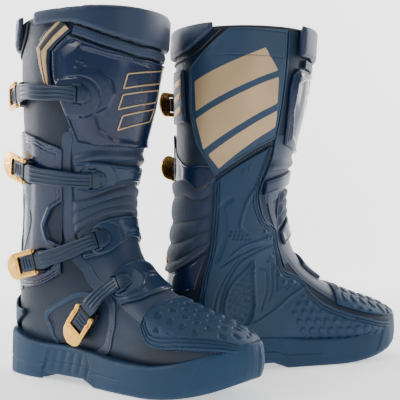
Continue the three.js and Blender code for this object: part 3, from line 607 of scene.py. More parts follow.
def inside_of(g, outline, mix=straight):
    """Distance in from the outline of an area, negative outside it; a point is inside if a line
    from it crosses the outline an odd number of times."""
    s, v = np.array(mix(np.array(outline + outline[:1], float),
                        np.linspace(0, len(outline), 8 * len(outline) + 1))).T
    odd = np.zeros(g.s.shape, bool)
    for s0, v0, s1, v1 in zip(s[:-1], v[:-1], s[1:], v[1:]):
        crosses = (s0 > g.s) != (s1 > g.s)
        with np.errstate(divide="ignore", invalid="ignore"):
            odd ^= crosses & (g.v < v0 + (g.s - s0) * (v1 - v0) / (s1 - s0))
    return distance(g.points, outline, closed=True, mix=mix) * np.where(odd, 1, -1)


# Polyester thread, bonded and slightly glossy: twisted strands 0.4 mm apart, drawn as a fine
# unevenness with no direction.
thread, shader, place = finish("bonded_thread", {"Roughness": 0.45, "Sheen Weight": 0.2})
twist = noise(thread, place, 900.0)
tint = blend(thread, twist, "#0f1e38", "#2a4268")
wire(thread, shader, {"Base Color": tint, "Normal": bumped(thread, twist, 0.5, 0.0002)})
STITCH_PITCH, STITCH_LENGTH, STITCH_RADIUS = 3.9, 2.7, 0.5


def stitches(points, out):
    """A row of stitches along a line: at each, a spindle whose radius is the root of
    1 - (share of its half length)^2."""
    along = unit(np.gradient(points, axis=0))
    far = travelled(points)
    centres = np.arange(STITCH_PITCH / 2, far[-1], STITCH_PITCH)
    p, a, o = (sampled(centres, far, w) for w in (points, along, out))
    a, o = unit(a), unit(o)
    c = np.cross(o, a)
    share = np.array([-1, -0.75, 0, 0.75, 1])
    radius = STITCH_RADIUS * np.sqrt(1.02 - share**2)
    turn = 2 * np.pi * np.arange(5) / 5
    rings = (p[:, None, None] + a[:, None, None] * (share * STITCH_LENGTH / 2)[None, :, None, None]
             + c[:, None, None] * (radius[:, None] * np.cos(turn))[None, :, :, None]
             + o[:, None, None] * (radius[:, None] * np.sin(turn))[None, :, :, None])
    one = loft(rings[0])
    return together(*[(loft(ring)[0], one[1], one[2], {}) for ring in rings])


def sewn(name, rows, body="boots"):
    """Stitch rows, each a route, its height and how it is drawn, as one piece of thread."""
    return make(name, together(*[stitches(*trace(route, 1.0, height, mix=mix))
                                 for route, height, mix in rows]), thread, body)


def plastic(name, dark, light, roughness, coat, scale, depth, wear):
    """Moulded plastic: broad patches between two colours, scuffed lighter on its sharp edges, with
    a mould grain of that scale and depth."""
    made, shader, place = finish(name, {"IOR": 1.5, "Specular IOR Level": 0.3,
                                        "Coat Weight": coat, "Coat Roughness": 0.1})
    broad = noise(made, place, 18.0, 4.0)
    tint = blend(made, broad, dark, light)
    scuffed = blend(made, on_edges(made, 0.53, 0.12), tint, wear)
    grain = noise(made, place, scale, 3.0)
    shine = ranged(made, broad, roughness - 0.07, roughness + 0.09)
    wire(made, shader, {"Base Color": scuffed, "Roughness": shine,
                        "Normal": bumped(made, grain, 0.35, depth)})
    return made


# Polyurethane moulded against a polished tool: deep navy with a clear, slightly rippled gloss.
gloss = plastic("gloss_moulded_urethane", "#03142f", "#082346", 0.26, 0.3, 260.0, 0.00012,
                "#234670")
# The same, moulded against a spark-eroded tool: satin mid navy, with a grain of 0.5 mm at 0.8 mm.
matt = plastic("matt_moulded_urethane", "#0f2942", "#1a3b57", 0.5, 0.0, 1200.0, 0.0002, "#324f7f")

REAR_BAND = [[[13.55, 0.4], [13.6, 0.46], [13.62, 0.52], [13.35, 0.59], [13.5, 0.645]],
             [[14.6, 0.4], [14.25, 0.46], [13.98, 0.53], [13.93, 0.6], [13.85, 0.635]]]
make("rear_gloss_band", panel(REAR_BAND, 0.2, 1.6, (50, 24),
                              relief=lambda g: -0.7 * bump_of(g.ends - 3.2, 1.2)), gloss)
LOWER_BAND = [[[10.95, 0.36], [11.2, 0.45], [11.24, 0.53], [11.05, 0.62]],
              [[11.45, 0.36], [11.62, 0.45], [11.72, 0.53], [11.85, 0.645]]]
make("rear_lower_band", panel(LOWER_BAND, 0.2, 1.5, (60, 16),
                              relief=lambda g: -0.6 * bump_of(g.ends - 2.8, 1.1)), gloss)

# Foam backed with a stretch knit whose fine cords run up and down 1.1 mm apart, drawn at 1.7 mm.
ribbed, shader, place = finish("corded_stretch_knit", {"Roughness": 0.72, "Sheen Weight": 0.3})
across = add(ribbed, "Attribute", {}, attribute_name="across").outputs["Fac"]
cords = add(ribbed, "Math", {0: across, 1: 3.7}, operation="MULTIPLY").outputs[0]
wave = add(ribbed, "Math", {0: cords}, operation="SINE").outputs[0]
height = add(ribbed, "MapRange", {"Value": wave, "From Min": -1.0}).outputs[0]
fuzz = noise(ribbed, place, 700.0, 3.0)
both = summed(ribbed, height, fuzz)
# The cords' colour follows their height, darker in the grooves and lighter on the crests: this is
# painted shade in the grooves between the cords.
tint = blend(ribbed, height, "#081a33", "#0f2b4c")
wire(ribbed, shader, {"Base Color": tint, "Normal": bumped(ribbed, both, 0.6, 0.0005)})

ACCORDION = [[[11.58, 0.42], [11.66, 0.48], [11.74, 0.54], [11.86, 0.6], [11.98, 0.652]],
             [[12.5, 0.42], [12.52, 0.48], [12.55, 0.54], [12.57, 0.6], [12.6, 0.645]],
             [[13.62, 0.42], [13.66, 0.48], [13.66, 0.54], [13.42, 0.59], [13.55, 0.638]]]
PUFFS = 5


def puffs(g):
    """Five padded ridges side by side up the panel: each is a half round, pulled down in the seams
    between, and flat at both sides."""
    phase = np.linspace(0, PUFFS, g.s.shape[1])[None, :] % 1
    crown = np.sqrt(np.clip(1 - (2 * phase - 1) ** 2, 0, 1))
    return 5.4 * crown * step_of(g.side - 7, 6) - 0.6


for pad in make("accordion", panel(ACCORDION, 0.1, 1.2, (56, 110), relief=puffs), ribbed):
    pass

HEEL_TOP = [[10.3, 0.345], [10.6, 0.385], [10.9, 0.42], [11.1, 0.46], [11.2, 0.5], [11.15, 0.54],
            [10.95, 0.58], [10.8, 0.605]]
HEEL_FOOT = [[10.12, 0.345], [10.22, 0.385], [10.25, 0.42], [10.25, 0.46], [10.25, 0.5],
             [10.25, 0.54], [10.22, 0.58], [10.15, 0.605]]
make("heel_counter", panel([HEEL_FOOT, HEEL_TOP], 2.76, 5.3, (90, 40), rounding=1.8,
                           relief=lambda g: -0.5 * bump_of(g.ends - 4.5, 1.2)),
     matt, stands_for=True)

# ---- Medial side ---------------------------------------------------------------------------------
# The inner ankle carries one matt moulding from the toe to mid calf, sewn on with two rows: it
# has a ribbed heel vent, a chevron, air holes and hexagonal grip studs. A smooth panel sits above
# it.
MEDIAL_GUARD = [[[2.6, 0.6], [2.6, 0.67], [2.6, 0.74]],
                [[3.5, 0.61], [3.5, 0.68], [3.5, 0.748]],
                [[4.6, 0.6], [4.6, 0.68], [4.6, 0.765]],
                [[5.8, 0.6], [5.8, 0.68], [5.7, 0.78]],
                [[6.5, 0.6], [6.5, 0.7], [6.5, 0.805]],
                [[7.4, 0.6], [7.4, 0.72], [7.3, 0.84]],
                [[8.4, 0.61], [8.4, 0.72], [8.4, 0.825]],
                [[9.45, 0.622], [9.45, 0.735], [9.45, 0.845]],
                [[10.5, 0.634], [10.5, 0.742], [10.5, 0.85]],
                [[11.25, 0.645], [11.25, 0.735], [11.25, 0.825]],
                [[11.85, 0.652], [11.85, 0.725], [11.85, 0.795]],
                [[12.7, 0.646], [12.8, 0.705], [12.9, 0.765]],
                [[13.5, 0.64], [13.8, 0.706], [14.12, 0.782]]]
VENT = [[9.02, 0.648], [9.6, 0.684], [10.28, 0.716], [10.4, 0.75], [10.3, 0.774], [9.49, 0.754],
        [8.75, 0.724], [8.5, 0.68]]
TAIL = [[9.0, 0.644], [8.39, 0.681], [7.79, 0.733], [7.2, 0.79], [6.75, 0.835]]


HEX_SLANT = 0.866  # cosine of 30 degrees


def hexagons(x, y, pitch, size, edge):
    """1 inside hexagons on a triangular lattice, 0 outside: the distance to a hexagon is the
    greatest of its three half widths."""
    row = pitch * np.sqrt(3) / 2
    best = np.full(np.shape(x), 1e9)
    for shift in (0, 1):
        u = (x + shift * pitch / 2 + 50 * pitch) % pitch - pitch / 2
        w = (y + shift * row + 100 * row) % (2 * row) - row
        flat = np.maximum(np.abs(w), np.abs(u) * HEX_SLANT + np.abs(w) * 0.5)
        best = np.minimum(best, flat)
    return step_of(size - best, edge)


def medial_relief(g):
    """Every raised or sunk feature of the guard, each a smooth ridge or step at a distance from
    its line."""
    p = g.points

    def ridge(route, depth, width, mix=through):
        return depth * bump_of(distance(p, route, mix=mix), width)

    h = -1.1 * bump_of(g.side - 3.2, 1.2) - 0.9 * bump_of(g.side - 6.6, 1.1)
    h += ridge([[13.0, 0.69], [12.86, 0.668], [12.59, 0.678], [12.03, 0.688], [11.5, 0.676]], -1.3,
               4.5)
    h += ridge([[13.3, 0.775], [12.86, 0.742], [12.46, 0.731], [12.1, 0.728]], 1.3, 2.8)
    h += ridge([[12.1, 0.728], [11.75, 0.75], [11.36, 0.785], [10.95, 0.82]], 1.3, 3.0, straight)
    h += ridge([[11.32, 0.715], [11.3, 0.75], [10.9, 0.8], [10.6, 0.832]], 0.9, 2.0)
    h += ridge([[11.2, 0.69], [11.1, 0.74], [10.75, 0.79], [10.4, 0.82]], -0.8, 1.3)
    h += ridge([[8.9, 0.645], [9.7, 0.675], [10.45, 0.705], [10.85, 0.74], [10.6, 0.79],
                [10.2, 0.83]],
               -0.9, 1.6)
    h += ridge([[8.95, 0.635], [9.8, 0.662], [10.62, 0.695], [11.0, 0.735]], -0.7, 1.3)
    vent = inside_of(g, VENT, through)
    h += 1.4 * bump_of(vent, 1.7) - 1.0 * step_of(vent - 3.2, 0.8)
    slat = (p[..., 2] + 0.45 * p[..., 0] + 500) % 7.6 - 3.8
    h += 1.2 * bump_of(slat, 1.9) * step_of(vent - 6.0, 1.0)
    for shift in (0.03, 0.052, 0.073):
        ribs = [[9.95 - 2 * shift, 0.752 + shift], [9.4, 0.757 + shift], [8.72, 0.724 + shift],
                [8.45 - 3 * shift, 0.69 + shift]]
        h += ridge(ribs, -0.9, 1.5)
    h += ridge(TAIL, 1.1, 2.2)
    studs_x, studs_y = p[..., 0], g.over + 0.4 * g.s
    size = np.clip(2.6 + 0.016 * (p[..., 0] - 50), 2.4, 4.6)
    ahead = step_of(p[..., 0] - 62 - 1.1 * (60 - p[..., 2]) * 0.4, 4) * step_of(g.edge - 9, 3)
    beyond = step_of(distance(p, TAIL) - 9, 3)
    h += 1.2 * hexagons(studs_x, studs_y, 12.6, size, 0.5) * ahead * beyond
    holes = np.hypot((studs_x - 0.3 * p[..., 2] + 300) % 5.2 - 2.6, (p[..., 2] + 300) % 4.4 - 2.2)
    spot = bump_of(distance(p, [[12.0, 0.71], [11.8, 0.73], [11.55, 0.752]]), 8.0) > 0.3
    h = h - 1.2 * step_of(1.2 - holes, 0.4) * spot
    return np.clip(1.6 * h, -1.5, 2.1)


make("medial_guard", panel(MEDIAL_GUARD, 1.2, 3.4, (72, 320), relief=medial_relief), matt,
     stands_for=True, crease=60)

# The top panel is the same urethane film-printed in matt gold: three broad slanting bars.
MEDIAL_TOP = [[[13.62, 0.638], [13.85, 0.69], [14.08, 0.735], [14.3, 0.784]],
              [[14.4, 0.575], [14.5, 0.645], [14.6, 0.715], [14.65, 0.784]],
              [[15.2, 0.545], [15.25, 0.62], [15.35, 0.7], [15.4, 0.784]],
              [[16.1, 0.545], [16.1, 0.62], [16.05, 0.7], [16.0, 0.784]],
              [[16.56, 0.602], [16.54, 0.66], [16.54, 0.72], [16.5, 0.784]],
              [[16.98, 0.65], [16.98, 0.7], [16.98, 0.74], [16.98, 0.784]]]
BARS = [
    [[14.25, 0.6], [14.95, 0.572], [15.85, 0.768], [15.2, 0.772]],
    [[15.12, 0.572], [15.78, 0.566], [16.5, 0.735], [16.0, 0.765]],
    [[13.78, 0.648], [14.12, 0.615], [15.02, 0.774], [14.62, 0.778]],
]
printed, shader, place = finish("gold_printed_urethane", {"IOR": 1.5})
bar = add(printed, "Attribute", {}, attribute_name="print").outputs["Fac"]
ink = add(printed, "MapRange", {"Value": bar, "From Min": -0.12, "From Max": 0.12}).outputs[0]
broad = noise(printed, place, 18.0, 4.0)
speck = noise(printed, place, 1100.0, 2.0)
base = blend(printed, broad, "#0f2942", "#1a3b57")
gold_ink = blend(printed, broad, "#a58a64", "#c4a983")
tint = blend(printed, ink, base, gold_ink)
shine = ranged(printed, ink, 0.5, 0.36)
metal = ranged(printed, ink, 0.0, 0.35)
raised = summed(printed, ink, speck)
wire(printed, shader, {"Base Color": tint, "Roughness": shine, "Metallic": metal,
                       "Normal": bumped(printed, raised, 0.35, 0.0002)})


def bar_print(g):
    """The print as a signed distance in millimetres: inside any bar it is positive."""
    return {"print": np.max([inside_of(g, bar) for bar in BARS], axis=0)}


make("medial_top_panel",
     panel(MEDIAL_TOP, 1.2, 3.2, (110, 130), mix=straight, marks=bar_print,
           relief=lambda g: -0.7 * bump_of(g.edge - 3.4, 1.1)
           - 0.5 * bump_of(distance(g.points, [[16.35, 0.6], [16.3, 0.78]]), 1.2)),
     printed, stands_for=True)
TOP_EDGE = [row[0] for row in MEDIAL_TOP]
sewn("medial_seams", [
    ([[s, v + 0.012] for s, v in TOP_EDGE[:4]], 3.3, straight),
    ([[16.35, 0.6], [16.33, 0.7], [16.3, 0.78]], 3.2, through),
    ([[13.62, 0.655], [13.95, 0.72], [14.22, 0.775]], 3.4, through),
    ([row[0] for row in MEDIAL_GUARD[7:]], 0.9, through),
    ([[s, v - 0.012] for s, v in [row[2] for row in MEDIAL_GUARD[2:]]], 3.5, through),
])
# Blue cord piping edges the front of the medial panels.
make("medial_piping", tube(*trace([[16.9, 0.79], [16.0, 0.79], [15.0, 0.79], [14.3, 0.79],
                                   [13.6, 0.79], [12.9, 0.772], [12.3, 0.785], [11.6, 0.81],
                                   [10.6, 0.856], [9.4, 0.852], [8.4, 0.833]], 2.0, 1.0), 1.3),
     matt)

# ---- Collars and bellows -------------------------------------------------------------------------
# Soft foam under thin synthetic leather: a roll round the front of the shaft that opens with the
# shin plate, a pad behind it, and a sewn bellows over the instep.


def swollen(mesh, voxel, pressure, cap):
    """A pad blown up like the real foam under its cover: the closed shape is remeshed in even
    voxels, swells for 20 steps as cloth under air pressure with no gravity, no point moving
    further than the cap, and is subdivided once."""
    data = bpy.data.meshes.new("pad")
    data.from_pydata((mesh[0] / 1000).tolist(), [], mesh[1].tolist() + mesh[2].tolist())
    pad = placed("pad", data)

    def settle():
        done = bpy.data.meshes.new_from_object(
            pad.evaluated_get(bpy.context.evaluated_depsgraph_get()))
        pad.modifiers.clear()
        pad.data = done

    def co():
        flat = np.zeros(len(pad.data.vertices) * 3)
        pad.data.vertices.foreach_get("co", flat)
        return flat.reshape(-1, 3)

    even = pad.modifiers.new("even", "REMESH")
    even.mode, even.voxel_size = "VOXEL", voxel / 1000
    settle()
    start = co()
    cloth = pad.modifiers.new("cloth", "CLOTH").settings
    cloth.use_pressure, cloth.uniform_pressure_force = True, pressure
    cloth.effector_weights.gravity = 0
    cloth.quality = 6
    for step in range(1, 21):
        bpy.context.scene.frame_set(step)
    settle()
    bpy.context.scene.frame_set(1)
    moved = co() - start
    far = np.linalg.norm(moved, axis=1, keepdims=True)
    moved *= np.minimum(1, cap / 1000 / np.maximum(far, 1e-9))
    pad.data.vertices.foreach_set("co", (start + moved).ravel())
    pad.data.update()
    finer = pad.modifiers.new("finer", "SUBSURF")
    finer.levels = finer.render_levels = 1
    settle()
    points = co() * 1000
    corners = np.zeros(len(pad.data.loops), int)
    pad.data.loops.foreach_get("vertex_index", corners)
    bpy.data.objects.remove(pad)
    return outward(points, corners.reshape(-1, 4), NO_TRIANGLES)


# Thin polyurethane-coated leather over foam: soft, with a fine haircell grain 0.8 mm across and
# shallow wrinkles; it takes a broad, dull highlight.
soft, shader, place = finish("soft_coated_leather", {"IOR": 1.48, "Sheen Weight": 0.15})
broad = noise(soft, place, 20.0, 4.0)
tint = blend(soft, broad, "#071a32", "#0e2c4c")
cells = dots(soft, place, 1100.0, "SMOOTH_F1")
wrinkle = noise(soft, place, 75.0, 3.0)
grain = summed(soft, cells, wrinkle)
shine = ranged(soft, broad, 0.38, 0.52)
wire(soft, shader, {"Base Color": tint, "Roughness": shine,
                    "Normal": bumped(soft, grain, 0.3, 0.0004)})

FRONT_COLLAR = [[[16.78, 0.283], [16.74, 0.2], [16.46, 0.12], [16.3, 0.04], [16.3, -0.08],
                 [16.34, -0.185]],
                [[17.16, 0.283], [17.16, 0.2], [17.16, 0.12], [17.16, 0.04], [17.16, -0.08],
                 [17.16, -0.185]]]
roll = swollen(panel(FRONT_COLLAR, 1.7, 8.0, (70, 14), rounding=3.0), 3.2, 5.0, 2.6)
for pad in make("front_collar", (roll[0], roll[1], roll[2], {}), soft,
                "shin_flap",
                stands_for=True, crease=80):
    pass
REAR_COLLAR = [[[16.98, 0.33], [16.6, 0.35], [16.4, 0.4], [16.42, 0.5], [16.56, 0.56],
                [16.92, 0.615]],
               [[17.16, 0.33], [17.16, 0.36], [17.16, 0.42], [17.16, 0.5], [17.16, 0.56],
                [17.16, 0.615]]]
rear_roll = swollen(panel(REAR_COLLAR, 1.7, 7.6, (60, 14), rounding=2.6), 3.2, 5.0, 2.4)
for pad in make("rear_collar", (rear_roll[0], rear_roll[1], rear_roll[2], {}), soft,
                stands_for=True, crease=80):
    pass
make("rear_collar_piping", tube(*trace([[16.96, 0.318], [16.52, 0.34], [16.3, 0.395], [16.32, 0.5],
                                        [16.46, 0.57], [16.95, 0.632]], 2.0, 1.2), 1.3),
     binding)

BELLOWS = [[[10.98, 0.184], [10.95, 0.1], [10.62, 0.03], [10.55, -0.05], [10.55, -0.135]],
           [[11.65, 0.188], [11.5, 0.1], [11.35, 0.03], [11.42, -0.06], [11.46, -0.14]],
           [[12.36, 0.19], [12.1, 0.11], [12.15, 0.02], [12.3, -0.08], [12.4, -0.14]]]
FOLDS = 3


def folds(g):
    """Three padded folds one above the other, each a half round with a sewn channel between, and
    thin where the panel is sewn in at its sides."""
    phase = np.linspace(0, FOLDS, g.s.shape[1])[None, :] % 1
    crown = np.sqrt(np.clip(1 - (2 * phase - 1) ** 2, 0, 1))
    return 3.6 * crown * step_of(g.side - 5, 4) - 0.5


for pad in make("bellows", panel(BELLOWS, 0.4, 1.7, (120, 72), relief=folds), ribbed,
                stands_for=True, crease=80):
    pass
sewn("bellows_seams", [
    ([[s, 0.175], [s - 0.02, 0.1], [s - 0.19, 0.03], [s - 0.16, -0.05], [s - 0.14, -0.125]], 1.5,
     through)
    for s in (11.42, 11.89)])

# ---- Front of the shaft: edge bands and instep ---------------------------------------------------
# Beside the bellows the leather is bound by flat sewn bands, and soft coated leather covers the
# instep under the strap plates, down to the toe guard.
INSTEP = [[[5.0, 0.19], [5.0, 0.1], [5.0, 0], [5.0, -0.1], [5.2, -0.19]],
          [[6.3, 0.182], [6.3, 0.1], [6.3, 0], [6.3, -0.09], [6.5, -0.165]],
          [[7.9, 0.172], [7.9, 0.1], [7.9, 0], [7.9, -0.08], [7.9, -0.15]],
          [[9.4, 0.168], [9.4, 0.1], [9.4, 0], [9.4, -0.08], [9.4, -0.145]],
          [[11.0, 0.175], [11.0, 0.1], [10.8, 0], [10.8, -0.08], [10.8, -0.14]]]
make("instep_cover", panel(INSTEP, 0.0, 0.85, (60, 110),
                           relief=lambda g: -0.35 * bump_of(g.side - 3, 1.2)), soft)
TONGUE = [[[12.1, 0.18], [12.1, 0.1], [12.1, 0.0], [12.1, -0.1], [12.3, -0.2]],
          [[13.2, 0.185], [13.2, 0.1], [13.2, 0.0], [13.2, -0.1], [13.2, -0.215]],
          [[14.4, 0.2], [14.2, 0.1], [14.1, 0.0], [14.2, -0.1], [14.4, -0.205]]]
TONGUE_FOLD = [[13.52, 0.18], [13.5, 0.12], [13.37, 0.04], [13.38, -0.08], [13.5, -0.2]]
make("shin_tongue", panel(TONGUE, 0.0, 0.85, (90, 70), relief=lambda g:
                          3.4 * bump_of(distance(g.points, TONGUE_FOLD), 8.0)), soft)


def laid_along(route, stiff=0.0):
    """A flat strip's own coordinates laid on the skin: x along the route, y across it to the
    left of its direction, z outwards. The route is a smooth curve through eleven even points. Its
    last stretch, of the stiff length, runs straight on instead."""
    way = np.array(route, float)
    sv = straight(way, np.linspace(0, len(way) - 1, 11))
    fine = np.linspace(0, 10, 401)
    line, out = through(skin(*sv.T), fine), unit(through(facing(*sv.T), fine))
    far = travelled(line)
    tangent = unit(np.gradient(line, axis=0))
    out = unit(out - tangent * np.sum(out * tangent, -1, keepdims=True))

    def at(strip):
        held = np.clip(strip[:, 0], 0, far[-1] - stiff)
        spot, ahead, up = (sampled(held, far, w) for w in (line, tangent, out))
        spot = spot + ahead * (strip[:, 0] - held)[:, None]
        return spot + np.cross(up, ahead) * strip[:, 1:2] + up * strip[:, 2:3]

    return at, far[-1]


def bar_shape(x, half, low, high, centre=0.0, corner=5.0, sides=20):
    """A bar along x in a strip's coordinates: at each x a superellipse, |cos|^(2/n) across and
    |sin|^(2/n) from low to high."""
    x = np.asarray(x, float)
    half, low, high, centre = (np.broadcast_to(w, x.shape)[:, None]
                               for w in (half, low, high, centre))
    turn = 2 * np.pi * (np.arange(sides) + 0.5) / sides
    y = np.sign(np.cos(turn)) * np.abs(np.cos(turn)) ** (2 / corner)
    z = np.sign(np.sin(turn)) * np.abs(np.sin(turn)) ** (2 / corner)
    rings = np.stack([np.broadcast_to(x[:, None], (len(x), sides)), centre + half * y,
                      (low + high) / 2 + (high - low) / 2 * z], -1)
    return loft(rings)


def bend_to(at, mesh):
    """A strip mesh moved to where its route lies."""
    return outward(at(mesh[0]), mesh[1], mesh[2], {"across": mesh[0][:, 1], "along": mesh[0][:, 0]})


def band(route, half, height):
    """A flat sewn band along a route, from the skin up to height, its ends drawn in."""
    at, length = laid_along(route)
    x = np.linspace(0, length, int(length / 2.5) + 2)
    ends = np.sqrt(np.clip(np.minimum(x, length - x) / 3, 0.12, 1))
    return bend_to(at, bar_shape(x, half * ends, -0.4, height, corner=7.0, sides=24))


EDGE_BAND = [[14.3, 0.2], [13.7, 0.207], [13.1, 0.204], [12.4, 0.2], [11.7, 0.2], [11.0, 0.193],
             [10.2, 0.184], [9.3, 0.176], [8.3, 0.184], [7.3, 0.182]]
INNER_BAND = [[12.6, 0.81], [12.1, 0.825], [11.4, 0.845], [10.6, 0.866], [9.4, 0.862], [8.4, 0.846]]
SIDE_BAND = [[7.3, 0.186], [6.75, 0.2], [6.45, 0.25], [6.4, 0.31], [6.8, 0.38]]
make("edge_bands", together(band(EDGE_BAND, 6.0, 1.25), band(INNER_BAND, 4.5, 1.2),
                            band(SIDE_BAND, 4.6, 1.2)), soft)
sewn("band_seams", [
    ([[s, v + 0.012] for s, v in EDGE_BAND], 1.3, through),
    ([[s, v - 0.012] for s, v in EDGE_BAND], 1.3, through),
    ([[s, v + 0.008] for s, v in SIDE_BAND], 1.25, through),
    ([[s, v - 0.009] for s, v in SIDE_BAND], 1.25, through),
    ([[12.2, 0.15], [12.2, 0.08], [12.3, 0.0], [12.4, -0.1]], 0.95, through),
    ([[6.2, 0.17], [6.3, 0.1], [6.2, 0.0], [6.4, -0.1]], 0.95, through),
    ([[16.9, 0.315], [16.84, 0.29], [16.8, 0.262]], 0.3, through),
])

# ---- Lateral calf plate and heel panel -----------------------------------------------------------
# A gloss support moulding wraps the outer rear of the calf. It has a sewn rim, a window over the
# leather and a diamond-shaped sunk rib. Below it a sewn leather panel, with a moulded matt edge,
# carries the lowest buckle.
CALF_PLATE = [[[9.95, 0.225], [10.5, 0.29], [11.05, 0.36], [11.5, 0.41]],
              [[11.1, 0.213], [11.3, 0.27], [11.6, 0.34], [12.0, 0.422]],
              [[12.4, 0.211], [12.5, 0.28], [12.6, 0.35], [12.7, 0.427]],
              [[13.5, 0.215], [13.6, 0.28], [13.75, 0.35], [13.8, 0.427]],
              [[13.92, 0.214], [14.37, 0.29], [14.62, 0.36], [14.67, 0.432]]]
WINDOW = [[12.5, 0.2], [12.44, 0.245], [12.1, 0.262], [11.6, 0.25], [11.1, 0.22], [11.1, 0.2]]
DIAMOND = [[13.5, 0.4], [13.0, 0.345], [12.6, 0.318], [12.2, 0.33], [11.8, 0.375], [12.6, 0.405]]


def calf_relief(g):
    window, diamond = inside_of(g, WINDOW), inside_of(g, DIAMOND, through)
    h = -0.8 * bump_of(g.edge - 3.4, 1.0) - 0.7 * bump_of(g.edge - 7.2, 1.0)
    h += 0.9 * bump_of(window + 3.2, 2.0) - 6.5 * step_of(window, 0.7)
    h += 0.8 * bump_of(diamond, 1.8) - 1.4 * step_of(diamond - 2.0, 0.9)
    return h + 0.7 * bump_of(distance(g.points, [[13.9, 0.3], [13.95, 0.36], [14.1, 0.4]]), 2.2)


make("calf_plate", panel(CALF_PLATE, 1.2, 3.8, (92, 132), mix=straight, relief=calf_relief,
                         rounding=1.6), gloss, stands_for=True, crease=55)
HEEL_PANEL = [[[8.75, 0.335], [8.35, 0.372], [7.85, 0.356], [7.35, 0.288]],
              [[9.0, 0.31], [8.6, 0.31], [8.05, 0.29], [7.42, 0.25]],
              [[9.5, 0.295], [8.95, 0.25], [8.4, 0.22], [7.52, 0.21]]]
make("buckle_panel", panel(HEEL_PANEL, 0.0, 1.05, (80, 70), mix=straight, relief=lambda g:
                           -0.6 * bump_of(g.edge - 3.6, 1.0) - 0.5 * bump_of(g.edge - 6.8, 0.9)),
     leather, crease=55)
PANEL_EDGE = [[7.45, 0.213], [8.4, 0.224], [8.93, 0.252], [9.36, 0.29], [9.3, 0.305], [8.9, 0.32],
              [8.72, 0.338], [8.35, 0.368]]
make("panel_edge", band(PANEL_EDGE, 2.9, 1.7), matt, crease=55)
sewn("lateral_seams", [
    (PANEL_EDGE, 1.75, through),
    ([[14.35, 0.4], [14.33, 0.36], [14.12, 0.29], [13.75, 0.228]], 3.5, through),
    ([[10.2, 0.24], [10.65, 0.295], [11.2, 0.36], [11.65, 0.405]], 3.5, through),
])

# ---- Shin plate ----------------------------------------------------------------------------------
# A thick gloss moulding over the shin. Its outer side has an even bevel and carries the top strap's
# anchor on a round pad; its middle is a sunk smooth panel with three gold outlined bars. It folds
# out.
SHIN = [[[14.02, 0.178], [13.76, 0.108], [13.65, 0], [13.8, -0.09], [14.1, -0.178]],
        [[15.0, 0.218], [14.9, 0.11], [14.85, 0], [14.85, -0.09], [15.0, -0.192]],
        [[15.66, 0.235], [15.5, 0.12], [15.4, 0], [15.4, -0.09], [15.6, -0.197]],
        [[16.2, 0.237], [15.9, 0.125], [15.75, 0.02], [15.75, -0.08], [15.9, -0.192]],
        [[16.5, 0.202], [16.22, 0.125], [16.02, 0.04], [16.02, -0.08], [16.1, -0.172]]]
ANCHOR_1 = [15.1, 0.172]
SUNK = [[16.2, 0.172], [15.7, 0.17], [15.68, 0.13], [15.45, 0.098], [15.1, 0.09], [14.8, 0.102],
        [14.66, 0.135], [14.25, 0.12], [13.95, 0.08], [13.85, 0.0], [13.95, -0.09], [14.3, -0.15],
        [15.0, -0.17], [15.7, -0.165], [15.92, -0.12], [15.88, 0.0], [16.0, 0.1]]


def shin_relief(g):
    p = g.points
    sunk = inside_of(g, SUNK)
    h = 1.3 - 2.7 * step_of(sunk + 0.5, 2.6) - 0.8 * bump_of(g.edge - 3.4, 1.0) * (sunk < 0)
    pad = distance(p, [ANCHOR_1, [ANCHOR_1[0] + 0.02, ANCHOR_1[1] + 0.03]])
    outer_edge = distance(p, [row[0] for row in SHIN])
    h -= 2.1 * np.clip((19 - outer_edge) / 11, 0, 1) * step_of(pad - 21, 2.0)
    h -= 0.9 * step_of(8.0 - g.edge, 2.5) * (sunk < 0) * (outer_edge > 10)
    h += 0.6 * step_of(19.5 - pad, 0.8) - 0.9 * bump_of(pad - 20.5, 1.3)
    for s, v in ((15.93, 0.178), (15.9, 0.168), (15.8, 0.182), (15.83, 0.162)):
        h += 0.9 * bump_of(np.linalg.norm(p - skin(s, v), axis=-1), 1.7)
    return h


make("shin_plate",
     panel(SHIN, 1.2, 4.3, (164, 120), mix=straight, relief=shin_relief, rounding=1.8),
     gloss, "shin_flap", stands_for=True, crease=60)

# A thin gold-printed label strip is heat-bonded along the plate's outer upper edge.
# Matt gold film over urethane: warm, half metallic, with a faint cloudiness.
film, shader, place = finish("gold_film", {"IOR": 1.5, "Metallic": 0.45})
brushed = noise(film, place, 160.0, 4.0)
tint = blend(film, brushed, "#a2875c", "#cfb285")
shine = ranged(film, brushed, 0.32, 0.5)
wire(film, shader, {"Base Color": tint, "Roughness": shine,
                    "Normal": bumped(film, brushed, 0.2, 0.0002)})
LABEL = [[[16.62, 0.2], [16.42, 0.228], [16.24, 0.249], [15.98, 0.2505], [15.45, 0.2455]],
         [[16.86, 0.222], [16.62, 0.249], [16.3, 0.277], [15.98, 0.269], [15.5, 0.2545]]]
make("label_strip", panel(LABEL, 2.4, 3.7, (90, 14), mix=straight, rounding=0.7),
     film, "shin_flap")
make("label_backing", panel([[[s - 0.03, v - 0.006] for s, v in LABEL[0]],
                             [[s + 0.03, v + 0.006] for s, v in LABEL[1]]],
                            1.1, 2.5, (90, 14), mix=straight, rounding=0.7),
     gloss, "shin_flap")
LABEL_LINE = [[a[0] * 0.45 + b[0] * 0.55, a[1] * 0.45 + b[1] * 0.55] for a, b in zip(*LABEL)]
make("label_inset", together(tube(*trace(LABEL_LINE, 1.5, 3.7, mix=straight), 0.8, flat=0.35),
                             tube(*trace(LABEL_LINE[:3], 1.5, 3.6, mix=straight), 3.4, flat=0.14)),
     binding, "shin_flap")

